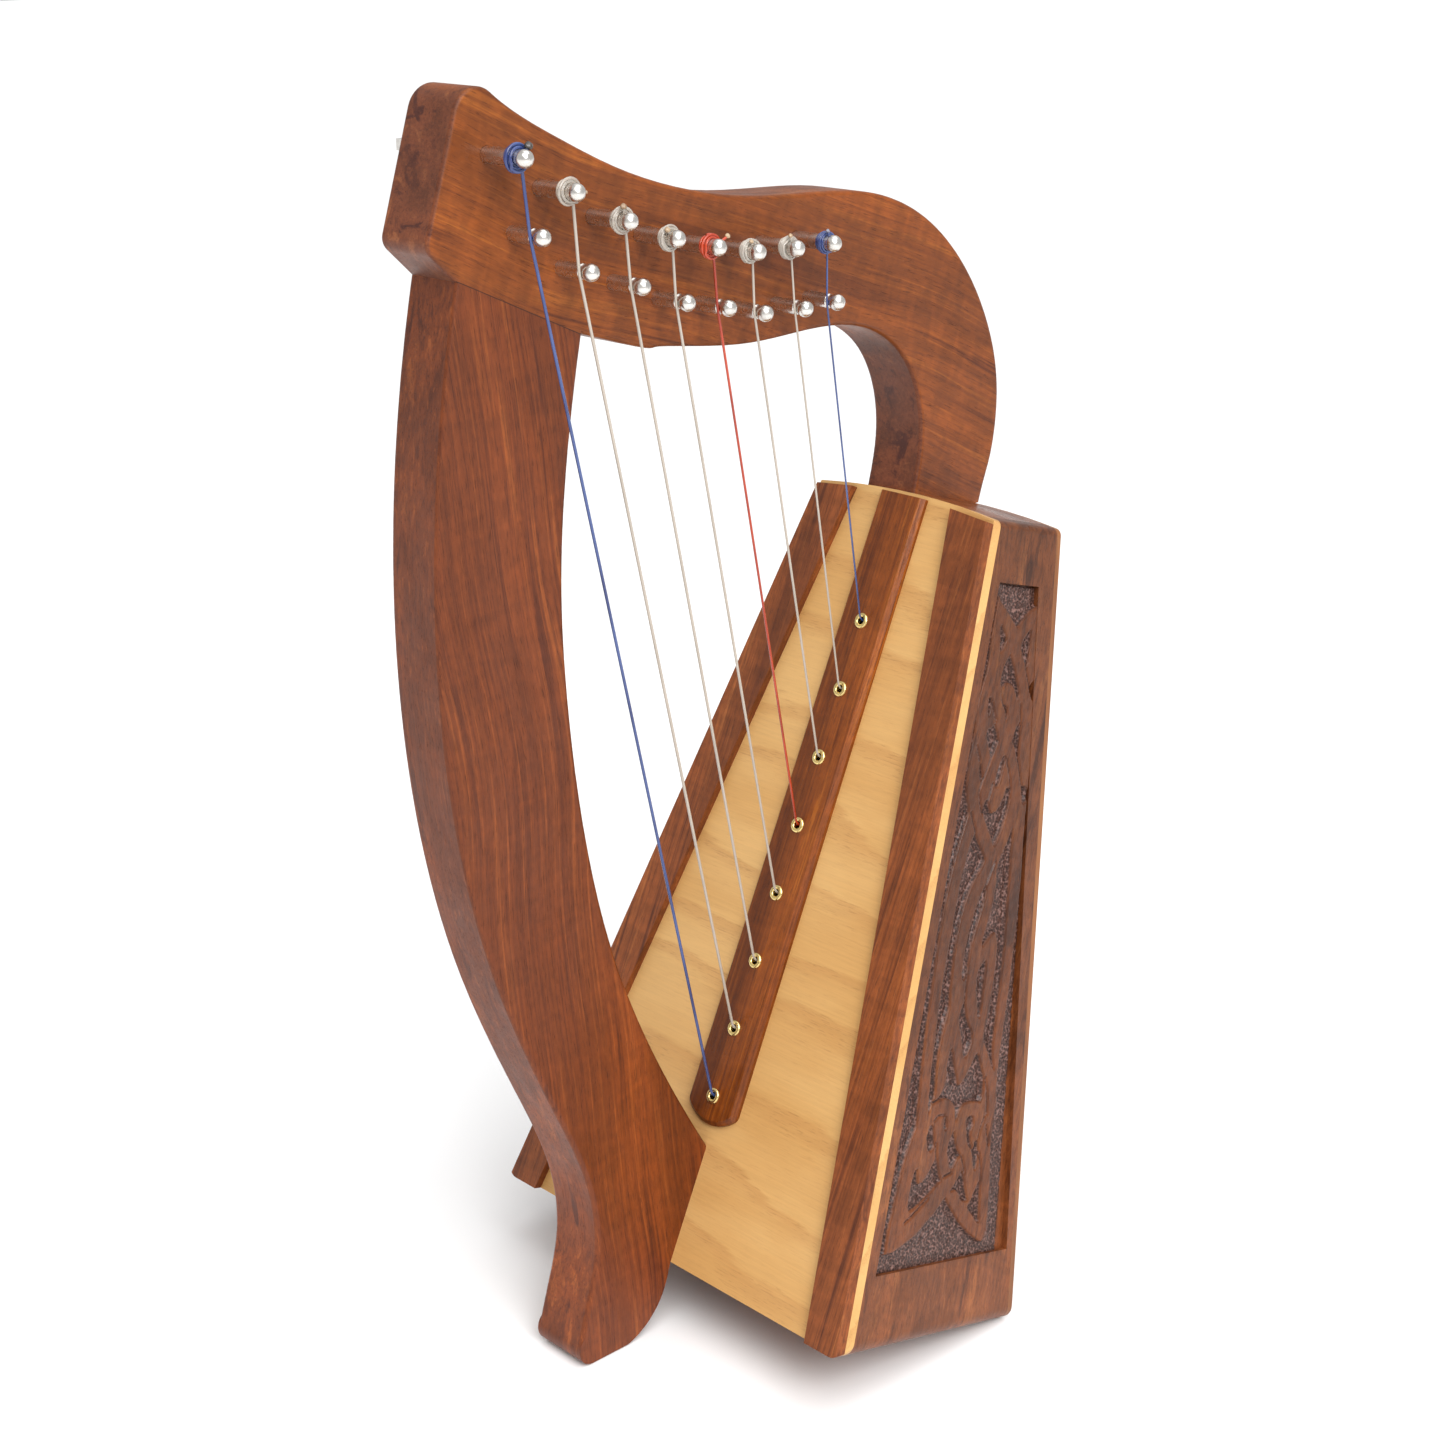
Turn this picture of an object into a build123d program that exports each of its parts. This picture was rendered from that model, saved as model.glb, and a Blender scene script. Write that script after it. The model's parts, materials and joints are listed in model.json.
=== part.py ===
from build123d import *
import os
from math import acos, atan2, cos, hypot, pi, radians, sin, tan

os.makedirs("parts", exist_ok=True)

# A small eight-string lap harp: a tapered wooden soundbox with a carved panel on each side, a curved
# pillar at its front, and a curved neck with eight tuning pins that reaches over from the pillar to
# the top of the box. Millimetres. +Z is up, the pillar is at -Y, the soundbox at +Y, and the strings
# hang on the neck's +X side. The origin is on the ground below the middle of the harp.

# ---------------------------------------------------------------- soundbox
BOARD_LEAN = 24.5           # the soundboard leans back this far from the vertical, in degrees
BASE_SLOPE = 15.65          # the box's bottom and top fall away to the back by this, in degrees
FOOT_Y = -37.8              # bottom front edge of the soundboard
FOOT_Z = 24.9
BOARD_LENGTH = 285.5        # along the soundboard, at its outer corners
DEPTH_BOTTOM = 92.2         # front to back, along the bottom
DEPTH_TOP = 37.9
HALF_WIDTH_BOTTOM = 88.8
HALF_WIDTH_TOP = 42.9
CROWN = 2.8                 # the box's top rises this much from its corners to its middle
BOARD_THICKNESS = 2.6
BACK_THICKNESS = 2.4
SIDE_THICKNESS = 6.0
PLATE_THICKNESS = 6.0       # top and bottom plates
TOP_CORNER_RADIUS = 3.0
BOTTOM_CORNER_RADIUS = 5.0
HOLE_EDGE_RADIUS = 0.6      # rounding of the sound holes' rims
FAR = 400.0                 # beyond every edge of the box, for the slabs that trim it
TOP_ALLOWANCE = 10.0        # the plain profile runs this far past the top before the crown trims it

# strips glued on the soundboard's face
STRIP_THICKNESS = 3.0
EDGE_BEVEL = 2.6            # the rail and the soundboard's edge are planed to one bevel this wide
RAIL_INNER_BOTTOM = 71.6    # half the soundboard's bare width at its bottom end
RAIL_INNER_TOP = 23.6
STRIP_SETBACK = 1.3         # the strips stop short of the soundboard's top edge
RIB_HALF_WIDTH_BOTTOM = 12.2
RIB_HALF_WIDTH_TOP = 10.6
RIB_START = 51.5            # along the soundboard, the rounded lower end of the string rib
RIB_END_BOW = 5.5
RIB_END_RADIUS = 3.5
RIB_EDGE_CHAMFER = 1.6

# carved recess in each side panel: its margins from the panel's edges
RECESS_DEPTH = 2.4
RECESS_MARGIN_FRONT = 7.6
RECESS_MARGIN_BASE = 27.0
RECESS_MARGIN_TOP = 20.5
RECESS_MARGIN_BACK_LOW = 10.3
RECESS_MARGIN_BACK_HIGH = 7.2

# pieces inside the box
LINING_WIDTH = 6.0
INNER_RIB_HALF_WIDTH = 7.0
INNER_RIB_THICKNESS = 3.0
BLOCK_HALF_WIDTH = 20.0
PILLAR_BLOCK_TOP = 46.0     # along the soundboard
PILLAR_BLOCK_THICKNESS = 16.0
NECK_BLOCK_START = 262.0    # along the soundboard
BRACE_STATIONS = (112.0, 188.0)
BRACE_WIDTH = 7.0
BRACE_HEIGHT = 8.0
SOUND_HOLES = ((62.0, 25.0), (138.0, 20.0), (204.0, 15.0))   # height up the back, radius

# ---------------------------------------------------------------- neck and pillar
NECK_THICKNESS = 23.0
NECK_CENTRE_X = -10.0       # the neck stands to one side so that the strings fall near the middle
EDGE_RADIUS = 1.5
NECK_FACE_X = NECK_CENTRE_X + NECK_THICKNESS / 2
NECK_BACK_X = NECK_CENTRE_X - NECK_THICKNESS / 2
PILLAR_JOINT = 44.4         # how far up the soundboard the pillar's foot is glued
JOINT_CORNER = (-68.5, 362.9)   # (Y, Z) where the pillar's back meets the neck's underside
JOINT_ANGLE = 24.5          # the joint between neck and pillar falls away to the back by this
JOINT_WIDTH = 47.1          # level distance from that corner to the pillar's front

# dowels and screws
DOWEL_RADIUS = 3.0
JOINT_DOWEL_LENGTH = 22.0
JOINT_DOWELS = ((-102.0, 378.2), (-84.0, 370.0))    # (Y, Z) on the joint between neck and pillar
SHOULDER_DOWEL_LENGTH = 28.0
SHOULDER_DOWEL_DEPTHS = (11.0, 27.0)                # back from the box's top front edge
SCREW_STATIONS = (14.0, 33.0)                       # up the soundboard
SCREW_RADIUS = 1.9
SCREW_HEAD_RADIUS = 3.8
SCREW_HEAD_HEIGHT = 2.4
SCREW_LENGTH = 34.0
SCREW_SUNK = 2.0                                    # head below the block's inner face

# ---------------------------------------------------------------- strings and their hardware
EYELET_START = 62.0         # along the soundboard, first eyelet
EYELET_SPACING = 25.4
EYELET_FLANGE_RADIUS = 2.9
EYELET_TUBE_RADIUS = 1.8
EYELET_HOLE_RADIUS = 1.3
EYELET_FLANGE_HEIGHT = 0.8
STRING_DIAMETERS = (1.05, 1.0, 0.95, 0.9, 0.85, 0.8, 0.7, 0.65)
ANCHOR_RADIUS = 2.0
STRING_PLANE = 11.6         # the strings leave the pins this far out from the neck's face
TUNING_PINS = (             # (Y, Z), longest string first
    (-103.2, 419.6), (-84.2, 408.5), (-63.9, 398.2), (-44.8, 391.1),
    (-27.7, 386.8), (-10.6, 383.6), (6.6, 382.9), (23.4, 382.8),
)
BRIDGE_PINS = (
    (-94.8, 396.2), (-76.6, 384.1), (-56.3, 377.6), (-37.9, 370.6),
    (-20.3, 366.9), (-4.2, 363.3), (13.9, 362.6), (28.8, 362.9),
)
TUNING_PIN_RADIUS = 2.5
TUNING_BALL_RADIUS = 2.75
TUNING_PIN_REACH = 20.0     # tip of the ball beyond the neck's face
PIN_CLEARANCE = 0.05
DRIVE_SIZE = 4.0            # square end for the tuning key
DRIVE_LENGTH = 11.0
DRIVE_NECK = 8.0            # round shaft that shows between the neck and the square
BRIDGE_PIN_RADIUS = 2.4
BRIDGE_BALL_RADIUS = 2.75
BRIDGE_PIN_REACH = 16.7
BRIDGE_PIN_DEPTH = 15.0
GROOVE_RADIUS = 2.0
GROOVE_WIDTH = 2.4
COIL_START = 12.6           # near side of the coil, out from the neck's face
COIL_WIDTH = 2.6
COIL_BUILD = 1.9            # the coil's depth in string thicknesses
STRING_TO_PIN = 0.3         # the string's fixed part stops this far from the turning pin
STRING_CLEARANCE = 0.15     # between the string and the bottom of the bridge pin's groove
EYELET_BEND = 2.6           # radius of the string's turn over the eyelet's lip

# ---------------------------------------------------------------- frames
lean = radians(BOARD_LEAN)
slope = radians(BASE_SLOPE)
up_board = (0, sin(lean), cos(lean))
out_of_board = (0, -cos(lean), sin(lean))
foot = (0, FOOT_Y, FOOT_Z)

board_plane = Plane(origin=foot, x_dir=(1, 0, 0), z_dir=out_of_board)   # local (X, up the board)
side_view = Plane(origin=foot, x_dir=up_board, z_dir=(1, 0, 0))         # local (up the board, outward)

skew = lean - slope                                 # between the box's ends and the board's normal
TAPER = (HALF_WIDTH_BOTTOM - HALF_WIDTH_TOP) / BOARD_LENGTH
side_turn = atan2(TAPER, 1)

back_low = (DEPTH_BOTTOM * sin(skew), -DEPTH_BOTTOM * cos(skew))
back_high = (BOARD_LENGTH + DEPTH_TOP * sin(skew), -DEPTH_TOP * cos(skew))


def half_width(along):
    return HALF_WIDTH_BOTTOM - TAPER * along


def board_point(x, along, out=0.0):
    """A point given across, along and out from the soundboard's face."""
    return Vector(
        x,
        FOOT_Y + along * up_board[1] + out * out_of_board[1],
        FOOT_Z + along * up_board[2] + out * out_of_board[2],
    )


def base_line(out, inset=0.0):
    """Where the box's bottom, moved up by inset, meets a level out from the soundboard's face."""
    return -out * tan(skew) + inset / cos(skew)


def top_line(out, inset=0.0):
    return BOARD_LENGTH - out * tan(skew) - inset / cos(skew)


def back_level(along, inset=0.0):
    """The back's distance out from the soundboard's face, moved into the box by inset."""
    rise = (back_high[1] - back_low[1]) / (back_high[0] - back_low[0])
    return back_low[1] + rise * (along - back_low[0]) + inset * hypot(1, rise)


back_foot = board_point(0, *back_low)
back_head = board_point(0, *back_high)
back_lean = atan2(back_head.Y - back_foot.Y, back_head.Z - back_foot.Z)
back_plane = Plane(
    origin=back_foot, x_dir=(-1, 0, 0), z_dir=(0, cos(back_lean), -sin(back_lean))
)                                                   # local (-X, up the back)
top_front = board_point(0, BOARD_LENGTH)
top_section = Plane(origin=top_front, x_dir=(1, 0, 0), z_dir=(0, -cos(slope), sin(slope)))
side_plane = Plane(
    origin=board_point(HALF_WIDTH_BOTTOM, 0),
    x_dir=(-sin(side_turn), cos(side_turn) * up_board[1], cos(side_turn) * up_board[2]),
    z_dir=(cos(side_turn), sin(side_turn) * up_board[1], sin(side_turn) * up_board[2]),
)                                                   # local (along the panel, outward from the board)


def save(part, label):
    part.label = label
    export_step(part, f"parts/{label}.step")


# ---------------------------------------------------------------- outer shape of the box
crown_radius = (HALF_WIDTH_TOP**2 + CROWN**2) / (2 * CROWN)
crown_reach = HALF_WIDTH_TOP + 15
crown_drop = crown_radius - (crown_radius**2 - crown_reach**2) ** 0.5

with BuildPart() as box_shape:
    over_top = back_high[0] + TOP_ALLOWANCE
    with BuildSketch(side_view):
        with BuildLine():
            Polyline(
                (base_line(STRIP_THICKNESS), STRIP_THICKNESS),
                back_low,
                (over_top, back_level(over_top)),
                (over_top, STRIP_THICKNESS),
                close=True,
            )
        make_face()
    extrude(amount=FAR, both=True)
    with BuildSketch(board_plane):
        with BuildLine():
            Polyline(
                (-half_width(-FAR / 2), -FAR / 2),
                (half_width(-FAR / 2), -FAR / 2),
                (half_width(FAR), FAR),
                (-half_width(FAR), FAR),
                close=True,
            )
        make_face()
    extrude(amount=FAR, both=True, mode=Mode.INTERSECT)
    with BuildSketch(top_section):
        with BuildLine():
            ThreePointArc((-crown_reach, CROWN - crown_drop), (0, CROWN), (crown_reach, CROWN - crown_drop))
            Polyline(
                (crown_reach, CROWN - crown_drop),
                (crown_reach, -FAR),
                (-crown_reach, -FAR),
                (-crown_reach, CROWN - crown_drop),
            )
        make_face()
        with Locations((0, -FAR / 2 - 30)):
            Rectangle(FAR, FAR)
    extrude(amount=FAR, both=True, mode=Mode.INTERSECT)
    crown_face = box_shape.faces().filter_by(GeomType.CYLINDER)
    fillet(crown_face.edges().filter_by(lambda e: abs(e.center().X) > HALF_WIDTH_TOP - 5), TOP_CORNER_RADIUS)
    side_faces = box_shape.faces().filter_by(lambda f: abs(f.normal_at().X) > 0.9)
    fillet(side_faces.edges().group_by(Axis.Z)[0], BOTTOM_CORNER_RADIUS)

# the same shape between the soundboard and the back
with BuildPart() as body_shape:
    add(box_shape.part)
    with BuildSketch(side_view):
        with BuildLine():
            Polyline(
                (-FAR, -BOARD_THICKNESS),
                (-FAR, back_level(-FAR, BACK_THICKNESS)),
                (FAR, back_level(FAR, BACK_THICKNESS)),
                (FAR, -BOARD_THICKNESS),
                close=True,
            )
        make_face()
    extrude(amount=FAR, both=True, mode=Mode.INTERSECT)

# the space between the two side panels
side_inset = SIDE_THICKNESS / cos(side_turn)
with BuildPart() as between_sides:
    with BuildSketch(board_plane):
        with BuildLine():
            Polyline(
                (side_inset - half_width(-FAR / 2), -FAR / 2),
                (half_width(-FAR / 2) - side_inset, -FAR / 2),
                (half_width(BOARD_LENGTH + 50) - side_inset, BOARD_LENGTH + 50),
                (side_inset - half_width(BOARD_LENGTH + 50), BOARD_LENGTH + 50),
                close=True,
            )
        make_face()
    extrude(amount=FAR, both=True)


def level_slab(builder_plane, low, high):
    """A slab between two levels, measured out from a plane."""
    with BuildPart() as slab:
        with BuildSketch(builder_plane.offset(low)):
            Rectangle(2 * FAR, 2 * FAR)
        extrude(amount=high - low)
    return slab.part


# ---------------------------------------------------------------- fasteners, made before the wood they sit in
joint_axis = (0, sin(radians(JOINT_ANGLE)), cos(radians(JOINT_ANGLE)))
with BuildPart() as neck_pillar_dowels:
    for y, z in JOINT_DOWELS:
        with BuildSketch(Plane(origin=(NECK_CENTRE_X, y, z), x_dir=(1, 0, 0), z_dir=joint_axis)):
            Circle(DOWEL_RADIUS)
        extrude(amount=JOINT_DOWEL_LENGTH / 2, both=True)
save(neck_pillar_dowels.part, "neck_pillar_dowels")

top_plane = Plane(origin=top_front, x_dir=(1, 0, 0), z_dir=(0, sin(slope), cos(slope)))   # local (X, back)
with BuildPart() as shoulder_dowels:
    with BuildSketch(top_plane):
        for depth in SHOULDER_DOWEL_DEPTHS:
            with Locations((NECK_CENTRE_X, depth)):
                Circle(DOWEL_RADIUS)
    extrude(amount=SHOULDER_DOWEL_LENGTH / 2, both=True)
save(shoulder_dowels.part, "shoulder_dowels")

screw_seat = -BOARD_THICKNESS - PILLAR_BLOCK_THICKNESS + SCREW_SUNK
with BuildPart() as pillar_screws:
    for along in SCREW_STATIONS:
        seat = board_point(NECK_CENTRE_X, along, screw_seat)
        with BuildSketch(Plane(origin=seat, x_dir=(1, 0, 0), z_dir=(0, -up_board[1], -up_board[2]))):
            with BuildLine():
                Polyline(
                    (0, 0),
                    (SCREW_HEAD_RADIUS, 0),
                    (SCREW_RADIUS, SCREW_HEAD_HEIGHT),
                    (SCREW_RADIUS, SCREW_LENGTH - 4),
                    (0, SCREW_LENGTH),
                    close=True,
                )
            make_face()
        revolve(axis=Axis(origin=seat, direction=out_of_board))
save(pillar_screws.part, "pillar_screws")

# ---------------------------------------------------------------- string hardware on the soundboard
eyelet_stations = [EYELET_START + EYELET_SPACING * i for i in range(len(STRING_DIAMETERS))]

with BuildPart() as string_eyelets:
    for along in eyelet_stations:
        rib_top = board_point(0, along, STRIP_THICKNESS)
        lip = (EYELET_FLANGE_RADIUS - EYELET_HOLE_RADIUS) / 2
        with BuildSketch(Plane(origin=rib_top, x_dir=(1, 0, 0), z_dir=(0, -up_board[1], -up_board[2]))):
            with BuildLine():
                Polyline(
                    (EYELET_FLANGE_RADIUS, 0),
                    (EYELET_TUBE_RADIUS, 0),
                    (EYELET_TUBE_RADIUS, -STRIP_THICKNESS - BOARD_THICKNESS),
                    (EYELET_HOLE_RADIUS, -STRIP_THICKNESS - BOARD_THICKNESS),
                    (EYELET_HOLE_RADIUS, 0),
                )
                ThreePointArc(
                    (EYELET_HOLE_RADIUS, 0),
                    (EYELET_HOLE_RADIUS + lip, EYELET_FLANGE_HEIGHT),
                    (EYELET_FLANGE_RADIUS, 0),
                )
            make_face()
        revolve(axis=Axis(origin=rib_top, direction=out_of_board))
save(string_eyelets.part, "string_eyelets")

anchor_out = -BOARD_THICKNESS - INNER_RIB_THICKNESS - ANCHOR_RADIUS
with BuildPart() as string_anchors:
    for along in eyelet_stations:
        with Locations(board_point(0, along, anchor_out)):
            Sphere(ANCHOR_RADIUS)
save(string_anchors.part, "string_anchors")

# ---------------------------------------------------------------- soundboard and the strips on it
with BuildPart() as soundboard:
    for level, bevel in ((-BOARD_THICKNESS, 0.0), (0.0, EDGE_BEVEL / 2)):
        with BuildSketch(board_plane.offset(level)):
            with BuildLine():
                Polyline(
                    (bevel - half_width(-10), -10),
                    (half_width(-10) - bevel, -10),
                    (half_width(BOARD_LENGTH + 10) - bevel, BOARD_LENGTH + 10),
                    (bevel - half_width(BOARD_LENGTH + 10), BOARD_LENGTH + 10),
                    close=True,
                )
            make_face()
    loft()
    add(box_shape.part, mode=Mode.INTERSECT)
    add(string_eyelets.part, mode=Mode.SUBTRACT)
    add(pillar_screws.part, mode=Mode.SUBTRACT)
    with BuildSketch(board_plane):
        with Locations(*[(0, along) for along in eyelet_stations]):
            Circle(EYELET_HOLE_RADIUS)
    extrude(amount=-BOARD_THICKNESS, mode=Mode.SUBTRACT)
save(soundboard.part, "soundboard")

rail_top = BOARD_LENGTH - STRIP_SETBACK
rail_top_inner = rail_top + CROWN * 0.6
with BuildPart() as rail_right:
    for level, bevel in ((0.0, EDGE_BEVEL / 2), (STRIP_THICKNESS, EDGE_BEVEL)):
        with BuildSketch(board_plane.offset(level)):
            with BuildLine():
                Polyline(
                    (RAIL_INNER_BOTTOM, -10),
                    (half_width(-10) - bevel, -10),
                    (half_width(rail_top) - bevel, rail_top),
                    (RAIL_INNER_TOP, rail_top_inner),
                    (RAIL_INNER_BOTTOM, 0),
                    close=True,
                )
            make_face()
    loft()
    add(box_shape.part, mode=Mode.INTERSECT)
save(rail_right.part, "rail_right")

with BuildPart() as rail_left:
    mirror(rail_right.part, about=Plane.YZ)
save(rail_left.part, "rail_left")

rib_top_end = BOARD_LENGTH + CROWN - STRIP_SETBACK
with BuildPart() as string_rib:
    with BuildSketch(board_plane) as rib_outline:
        with BuildLine():
            Polyline(
                (-RIB_HALF_WIDTH_BOTTOM, RIB_START + RIB_END_BOW),
                (-RIB_HALF_WIDTH_TOP, rib_top_end),
                (RIB_HALF_WIDTH_TOP, rib_top_end),
                (RIB_HALF_WIDTH_BOTTOM, RIB_START + RIB_END_BOW),
            )
            ThreePointArc(
                (-RIB_HALF_WIDTH_BOTTOM, RIB_START + RIB_END_BOW),
                (0, RIB_START),
                (RIB_HALF_WIDTH_BOTTOM, RIB_START + RIB_END_BOW),
            )
        make_face()
        fillet(rib_outline.vertices().sort_by(Axis.Y)[:2], RIB_END_RADIUS)
    extrude(amount=STRIP_THICKNESS)
    rib_rim = string_rib.edges().group_by(lambda e: round(board_plane.to_local_coords(e).center().Z, 2))[-1]
    chamfer(rib_rim.sort_by(lambda e: board_plane.to_local_coords(e).center().Y)[:-1], RIB_EDGE_CHAMFER)
    with BuildSketch(board_plane.offset(STRIP_THICKNESS)):
        with Locations(*[(0, along) for along in eyelet_stations]):
            Circle(EYELET_TUBE_RADIUS)
    extrude(amount=-STRIP_THICKNESS, mode=Mode.SUBTRACT)
save(string_rib.part, "string_rib")

# ---------------------------------------------------------------- sides, back, top and bottom
with BuildPart() as side_panel_right:
    add(body_shape.part)
    add(between_sides.part, mode=Mode.SUBTRACT)
    split(bisect_by=Plane.YZ, keep=Keep.TOP)
    recess_low = -RECESS_MARGIN_FRONT
    recess_bottom_back = back_level(back_low[0], RECESS_MARGIN_BACK_LOW)
    recess_top_back = back_level(back_high[0], RECESS_MARGIN_BACK_HIGH)
    with BuildSketch(side_plane):
        with BuildLine():
            Polyline(
                (base_line(recess_low, RECESS_MARGIN_BASE) / cos(side_turn), recess_low),
                (base_line(recess_bottom_back, RECESS_MARGIN_BASE) / cos(side_turn), recess_bottom_back),
                (top_line(recess_top_back, RECESS_MARGIN_TOP) / cos(side_turn), recess_top_back),
                (top_line(recess_low, RECESS_MARGIN_TOP) / cos(side_turn), recess_low),
                close=True,
            )
        make_face()
    extrude(amount=-RECESS_DEPTH, mode=Mode.SUBTRACT)
save(side_panel_right.part, "side_panel_right")

with BuildPart() as side_panel_left:
    mirror(side_panel_right.part, about=Plane.YZ)
save(side_panel_left.part, "side_panel_left")

with BuildPart() as back_panel:
    add(level_slab(back_plane, -BACK_THICKNESS, 1.0))
    add(box_shape.part, mode=Mode.INTERSECT)
    with BuildSketch(back_plane):
        for height, radius in SOUND_HOLES:
            with Locations((0, height)):
                Circle(radius)
    extrude(amount=-BACK_THICKNESS, mode=Mode.SUBTRACT)
    rim = back_panel.faces().filter_by(lambda f: f.normal_at().dot(back_plane.z_dir) > 0.99).edges()
    fillet(rim.filter_by(GeomType.CIRCLE), HOLE_EDGE_RADIUS)
save(back_panel.part, "back_panel")

with BuildPart() as top_plate:
    add(body_shape.part)
    add(between_sides.part, mode=Mode.INTERSECT)
    add(level_slab(top_plane, -PLATE_THICKNESS, 2 * CROWN), mode=Mode.INTERSECT)
    add(shoulder_dowels.part, mode=Mode.SUBTRACT)
save(top_plate.part, "top_plate")

base_plane = Plane(origin=foot, x_dir=(1, 0, 0), z_dir=(0, sin(slope), cos(slope)))
with BuildPart() as bottom_plate:
    add(body_shape.part)
    add(between_sides.part, mode=Mode.INTERSECT)
    add(level_slab(base_plane, -1.0, PLATE_THICKNESS), mode=Mode.INTERSECT)
save(bottom_plate.part, "bottom_plate")

# ---------------------------------------------------------------- inside the box
inside_low = base_line(-BOARD_THICKNESS, PLATE_THICKNESS)
with BuildPart() as pillar_block:
    with BuildSketch(board_plane.offset(-BOARD_THICKNESS)):
        with Locations((NECK_CENTRE_X, PILLAR_BLOCK_TOP / 2)):
            Rectangle(2 * BLOCK_HALF_WIDTH, PILLAR_BLOCK_TOP)
    extrude(amount=-PILLAR_BLOCK_THICKNESS)
    add(level_slab(base_plane, PLATE_THICKNESS, FAR), mode=Mode.INTERSECT)
    add(pillar_screws.part, mode=Mode.SUBTRACT)
    with BuildSketch(board_plane.offset(-BOARD_THICKNESS - PILLAR_BLOCK_THICKNESS)):
        with Locations(*[(NECK_CENTRE_X, along) for along in SCREW_STATIONS]):
            Circle(SCREW_HEAD_RADIUS)
    extrude(amount=SCREW_SUNK, mode=Mode.SUBTRACT)
save(pillar_block.part, "pillar_block")

with BuildPart() as neck_block:
    add(body_shape.part)
    with BuildSketch(board_plane):
        with Locations((NECK_CENTRE_X, NECK_BLOCK_START + FAR / 2)):
            Rectangle(2 * BLOCK_HALF_WIDTH, FAR)
    extrude(amount=-FAR, mode=Mode.INTERSECT)
    add(level_slab(top_plane, -FAR, -PLATE_THICKNESS), mode=Mode.INTERSECT)
    add(shoulder_dowels.part, mode=Mode.SUBTRACT)
save(neck_block.part, "neck_block")

with BuildPart() as inner_rib:
    inner_rib_low = EYELET_START - 12
    with BuildSketch(board_plane.offset(-BOARD_THICKNESS)):
        with Locations((0, (inner_rib_low + NECK_BLOCK_START) / 2)):
            Rectangle(2 * INNER_RIB_HALF_WIDTH, NECK_BLOCK_START - inner_rib_low)
        with Locations(*[(0, along) for along in eyelet_stations]):
            Circle(EYELET_HOLE_RADIUS, mode=Mode.SUBTRACT)
    extrude(amount=-INNER_RIB_THICKNESS)
save(inner_rib.part, "inner_rib")

with BuildPart() as soundboard_braces:
    for along in BRACE_STATIONS:
        reach = half_width(along + BRACE_WIDTH) - side_inset - LINING_WIDTH
        middle = (reach + INNER_RIB_HALF_WIDTH) / 2
        with BuildSketch(board_plane.offset(-BOARD_THICKNESS)):
            with Locations((middle, along), (-middle, along)):
                Rectangle(reach - INNER_RIB_HALF_WIDTH, BRACE_WIDTH)
        extrude(amount=-BRACE_HEIGHT)
save(soundboard_braces.part, "soundboard_braces")

with BuildPart() as lining_right:
    lining_top = top_line(-BOARD_THICKNESS, PLATE_THICKNESS)
    with BuildSketch(board_plane.offset(-BOARD_THICKNESS)):
        with BuildLine():
            Polyline(
                (half_width(inside_low + 1) - side_inset, inside_low + 1),
                (half_width(lining_top - 1) - side_inset, lining_top - 1),
                (half_width(lining_top - 1) - side_inset - LINING_WIDTH, lining_top - 1),
                (half_width(inside_low + 1) - side_inset - LINING_WIDTH, inside_low + 1),
                close=True,
            )
        make_face()
    extrude(amount=-LINING_WIDTH)
    add(level_slab(base_plane, PLATE_THICKNESS, FAR), mode=Mode.INTERSECT)
save(lining_right.part, "lining_right")

with BuildPart() as lining_left:
    mirror(lining_right.part, about=Plane.YZ)
save(lining_left.part, "lining_left")

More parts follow.
